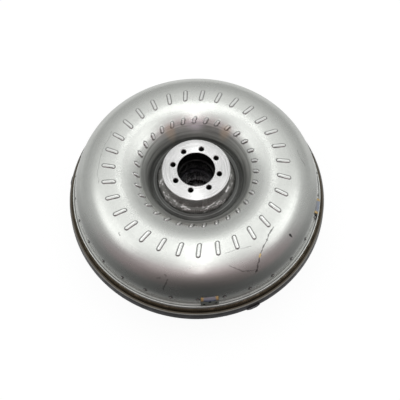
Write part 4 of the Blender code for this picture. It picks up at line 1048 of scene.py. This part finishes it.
def weld_finish(name, dark, light, roughness, stretch):
    """A weld bead: scaly and dark, with painted glints: lighter, smoother streaks along the bead."""
    finish, nodes, place = fresh(name)
    _, radius, angle, height = round_axis(nodes, place)
    brushed = nodes.add("CombineXYZ", {
        "X": nodes.math("MULTIPLY", nodes.math("SUBTRACT", radius, height), 0.7),
        "Y": nodes.math("MULTIPLY", nodes.math("SINE", angle), 0.05 / stretch),
        "Z": nodes.math("MULTIPLY", nodes.math("COSINE", angle), 0.05 / stretch)})
    scale = nodes.noise(brushed, 900.0, 4.0, 0.6)
    patch = nodes.noise(place, 90.0, 3.0, 0.5)
    # Painted highlight: lighter, smoother glints in streaks along the bead
    glint = nodes.span(nodes.math("ADD", scale, nodes.math("MULTIPLY", patch, 0.6)), 0.84, 0.98)
    tone = nodes.mix(glint, (*dark, 1.0), (*light, 1.0))
    shader = nodes.add("BsdfPrincipled", {
        "Base Color": tone, "Metallic": 1.0, "Roughness": nodes.span(glint, 0.0, 1.0, roughness, 0.25),
        "Normal": nodes.bump(scale, 0.00006)})
    nodes.add("OutputMaterial", {"Surface": shader})
    return finish


def cover_finish():
    """Rolled plate: dark on the wall, browned near the weld, with a worn edge that is a little lighter."""
    finish, nodes, place = fresh("dark_steel_cover")
    _, radius, _, height = round_axis(nodes, place)
    cloud = nodes.noise(place, 70.0, 8.0, 0.65)
    fine = nodes.noise(place, 500.0, 3.0, 0.6)
    grime = nodes.span(cloud, 0.35, 0.65)
    near_weld = nodes.span(height, COVER_EDGE - 0.0022, COVER_EDGE - 0.0004)
    worn = product(nodes, nodes.span(radius, RIM_RADIUS - 0.0040, RIM_RADIUS - 0.0030),
                   nodes.span(height, COVER_EDGE - 0.0010, COVER_EDGE - 0.0004))
    tone = nodes.mix(grime, (0.15, 0.15, 0.165, 1.0), (0.105, 0.10, 0.102, 1.0))
    tone = nodes.mix(near_weld, tone, (0.10, 0.085, 0.065, 1.0))
    tone = nodes.mix(worn, tone, (0.20, 0.20, 0.19, 1.0))
    shader = nodes.add("BsdfPrincipled", {
        "Base Color": tone, "Metallic": 1.0, "Roughness": nodes.span(grime, 0.0, 1.0, 0.36, 0.48),
        "Normal": nodes.bump(fine, 0.00002)})
    nodes.add("OutputMaterial", {"Surface": shader})
    return finish


def weight_finish():
    """Steel coloured by the heat of welding: straw top corners, blue between, grey-green below.

    Painted shadow darkens the ends, and painted shade the dimples.
    """
    finish, nodes, place = fresh("tinted_steel_weight")
    _, _, angle, height = round_axis(nodes, place)
    cloud = nodes.noise(place, 160.0, 4.0, 0.6)
    up = nodes.math("SUBTRACT", height, LEDGE)
    waved = nodes.math("ADD", up, nodes.span(cloud, 0.2, 0.8, -0.0010, 0.0010))
    tone = nodes.ramp(nodes.span(waved, 0.0, WEIGHT_HEIGHT), stops_between(
        0.0, WEIGHT_HEIGHT, (0.0, (0.14, 0.13, 0.11)), (0.0020, (0.30, 0.31, 0.28)),
        (0.0140, (0.36, 0.38, 0.34)), (0.0155, (0.28, 0.34, 0.56)),
        (0.0172, (0.50, 0.56, 0.66)), (0.0190, (0.36, 0.34, 0.34))))
    for place_round in WEIGHT_ANGLES:
        off = nodes.math("MULTIPLY", nodes.math("SUBTRACT", angle, place_round), SKIRT_RADIUS)
        aside = nodes.math("ABSOLUTE", off)
        at_end = nodes.span(aside, 0.0068, 0.0090)
        near = nodes.span(aside, WEIGHT_LENGTH, WEIGHT_LENGTH * 1.1, 1.0, 0.0)
        at_top = nodes.span(waved, 0.0145, 0.0160)
        tone = nodes.mix(product(nodes, at_end, near, at_top), tone, (0.85, 0.62, 0.28, 1.0))
        # Painted shadow at each end of the bar
        side = nodes.span(aside, WEIGHT_LENGTH * 0.42, WEIGHT_LENGTH * 0.46)
        tone = nodes.mix(product(nodes, side, near, 0.8), tone, (0.05, 0.05, 0.05, 1.0))
        for along, tall_up in WEIGHT_DIMPLES:
            spot = nodes.add("CombineXYZ", {"X": off, "Y": up})
            centre = (along * WEIGHT_LENGTH / 2, tall_up, 0)
            # Painted shade in each dimple
            mark = nodes.span(nodes.vector("DISTANCE", spot, centre, "Value"), 0.0013, 0.0022, 0.92, 0.0)
            tone = nodes.mix(mark, tone, (0.03, 0.03, 0.05, 1.0))
    shader = nodes.add("BsdfPrincipled", {
        "Base Color": tone, "Metallic": 1.0, "Roughness": nodes.span(cloud, 0.3, 0.7, 0.30, 0.42),
        "Normal": nodes.bump(nodes.noise(place, 700.0, 3.0, 0.5), 0.00003)})
    nodes.add("OutputMaterial", {"Surface": shader})
    return finish


def finish_all():
    """Give each piece and each CAD node that still shows the finish of its slot."""
    finishes = {
        "pressed_steel": metal("pressed_steel", (0.62, 0.62, 0.60), 0.32, 0.06, 40.0),
        "dark_steel": cover_finish(),
        "turned_steel": metal("turned_steel", (0.72, 0.72, 0.71), 0.28, 0.05),
        "hub_bead": weld_finish("hub_bead", (0.17, 0.17, 0.16), (0.72, 0.71, 0.70), 0.40, 6.0),
        "seam_bead": weld_finish("seam_bead", (0.085, 0.072, 0.048), (0.20, 0.17, 0.12), 0.45, 2.0),
        "tinted_steel": weight_finish(),
        "blade_steel": metal("blade_steel", (0.50, 0.50, 0.48), 0.35),
        # Darkened for the parts deep inside the housing: old oil and painted shade
        "hardened_steel": metal("hardened_steel", (0.20, 0.20, 0.21), 0.28),
        "spring_steel": metal("spring_steel", (0.25, 0.28, 0.38), 0.28),
        "phosphated_steel": metal("phosphated_steel", (0.09, 0.09, 0.10), 0.45, 0.25, 120.0),
        "cast_aluminium": metal("cast_aluminium", (0.66, 0.67, 0.68), 0.45, 0.12, 120.0, 500.0, 0.0001),
        "bronze": metal("bronze", (0.40, 0.27, 0.14), 0.36),
    }
    piece_finishes = {"impeller_shell_pressing": shell_finish(), "impeller_hub_turning": hub_finish()}
    for part in frame["record"]["subparts"]:
        obj = frame["nodes"][part["node"]]
        obj.data.materials.clear()
        obj.data.materials.append(finishes[part["material_slot"]])
    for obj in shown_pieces():
        if obj.name not in frame["nodes"]:
            obj.data.materials.clear()
            obj.data.materials.append(piece_finishes.get(obj.name) or finishes[SLOT_OF[obj.name]])


def main():
    bpy.context.scene.view_settings.view_transform = "Standard"
    build_camera()
    build_world()
    build_lamps()
    build_floor()
    build_impeller_shell()
    build_front_cover()
    build_pilot_boss()
    build_impeller_hub()
    build_bead("hub_weld_bead", HUB_RADIUS, NECK_TOP, HUB_WELD_WIDTH, HUB_WELD_HEIGHT,
               "hub_bead", "hub_weld", HUB_WELD_PITCH, HUB_WELD_SEED)
    build_bead("seam_weld_bead", SKIRT_RADIUS, COVER_EDGE, SEAM_WELD_WIDTH, SEAM_WELD_HEIGHT,
               "seam_bead", "seam_weld", SEAM_WELD_PITCH, SEAM_WELD_SEED)
    for lug in range(1, LUGS + 1):
        build_drive_lug(lug)
    for number, angle in enumerate(WEIGHT_ANGLES, 1):
        build_balance_weight(number, angle)
    finish_all()


main()
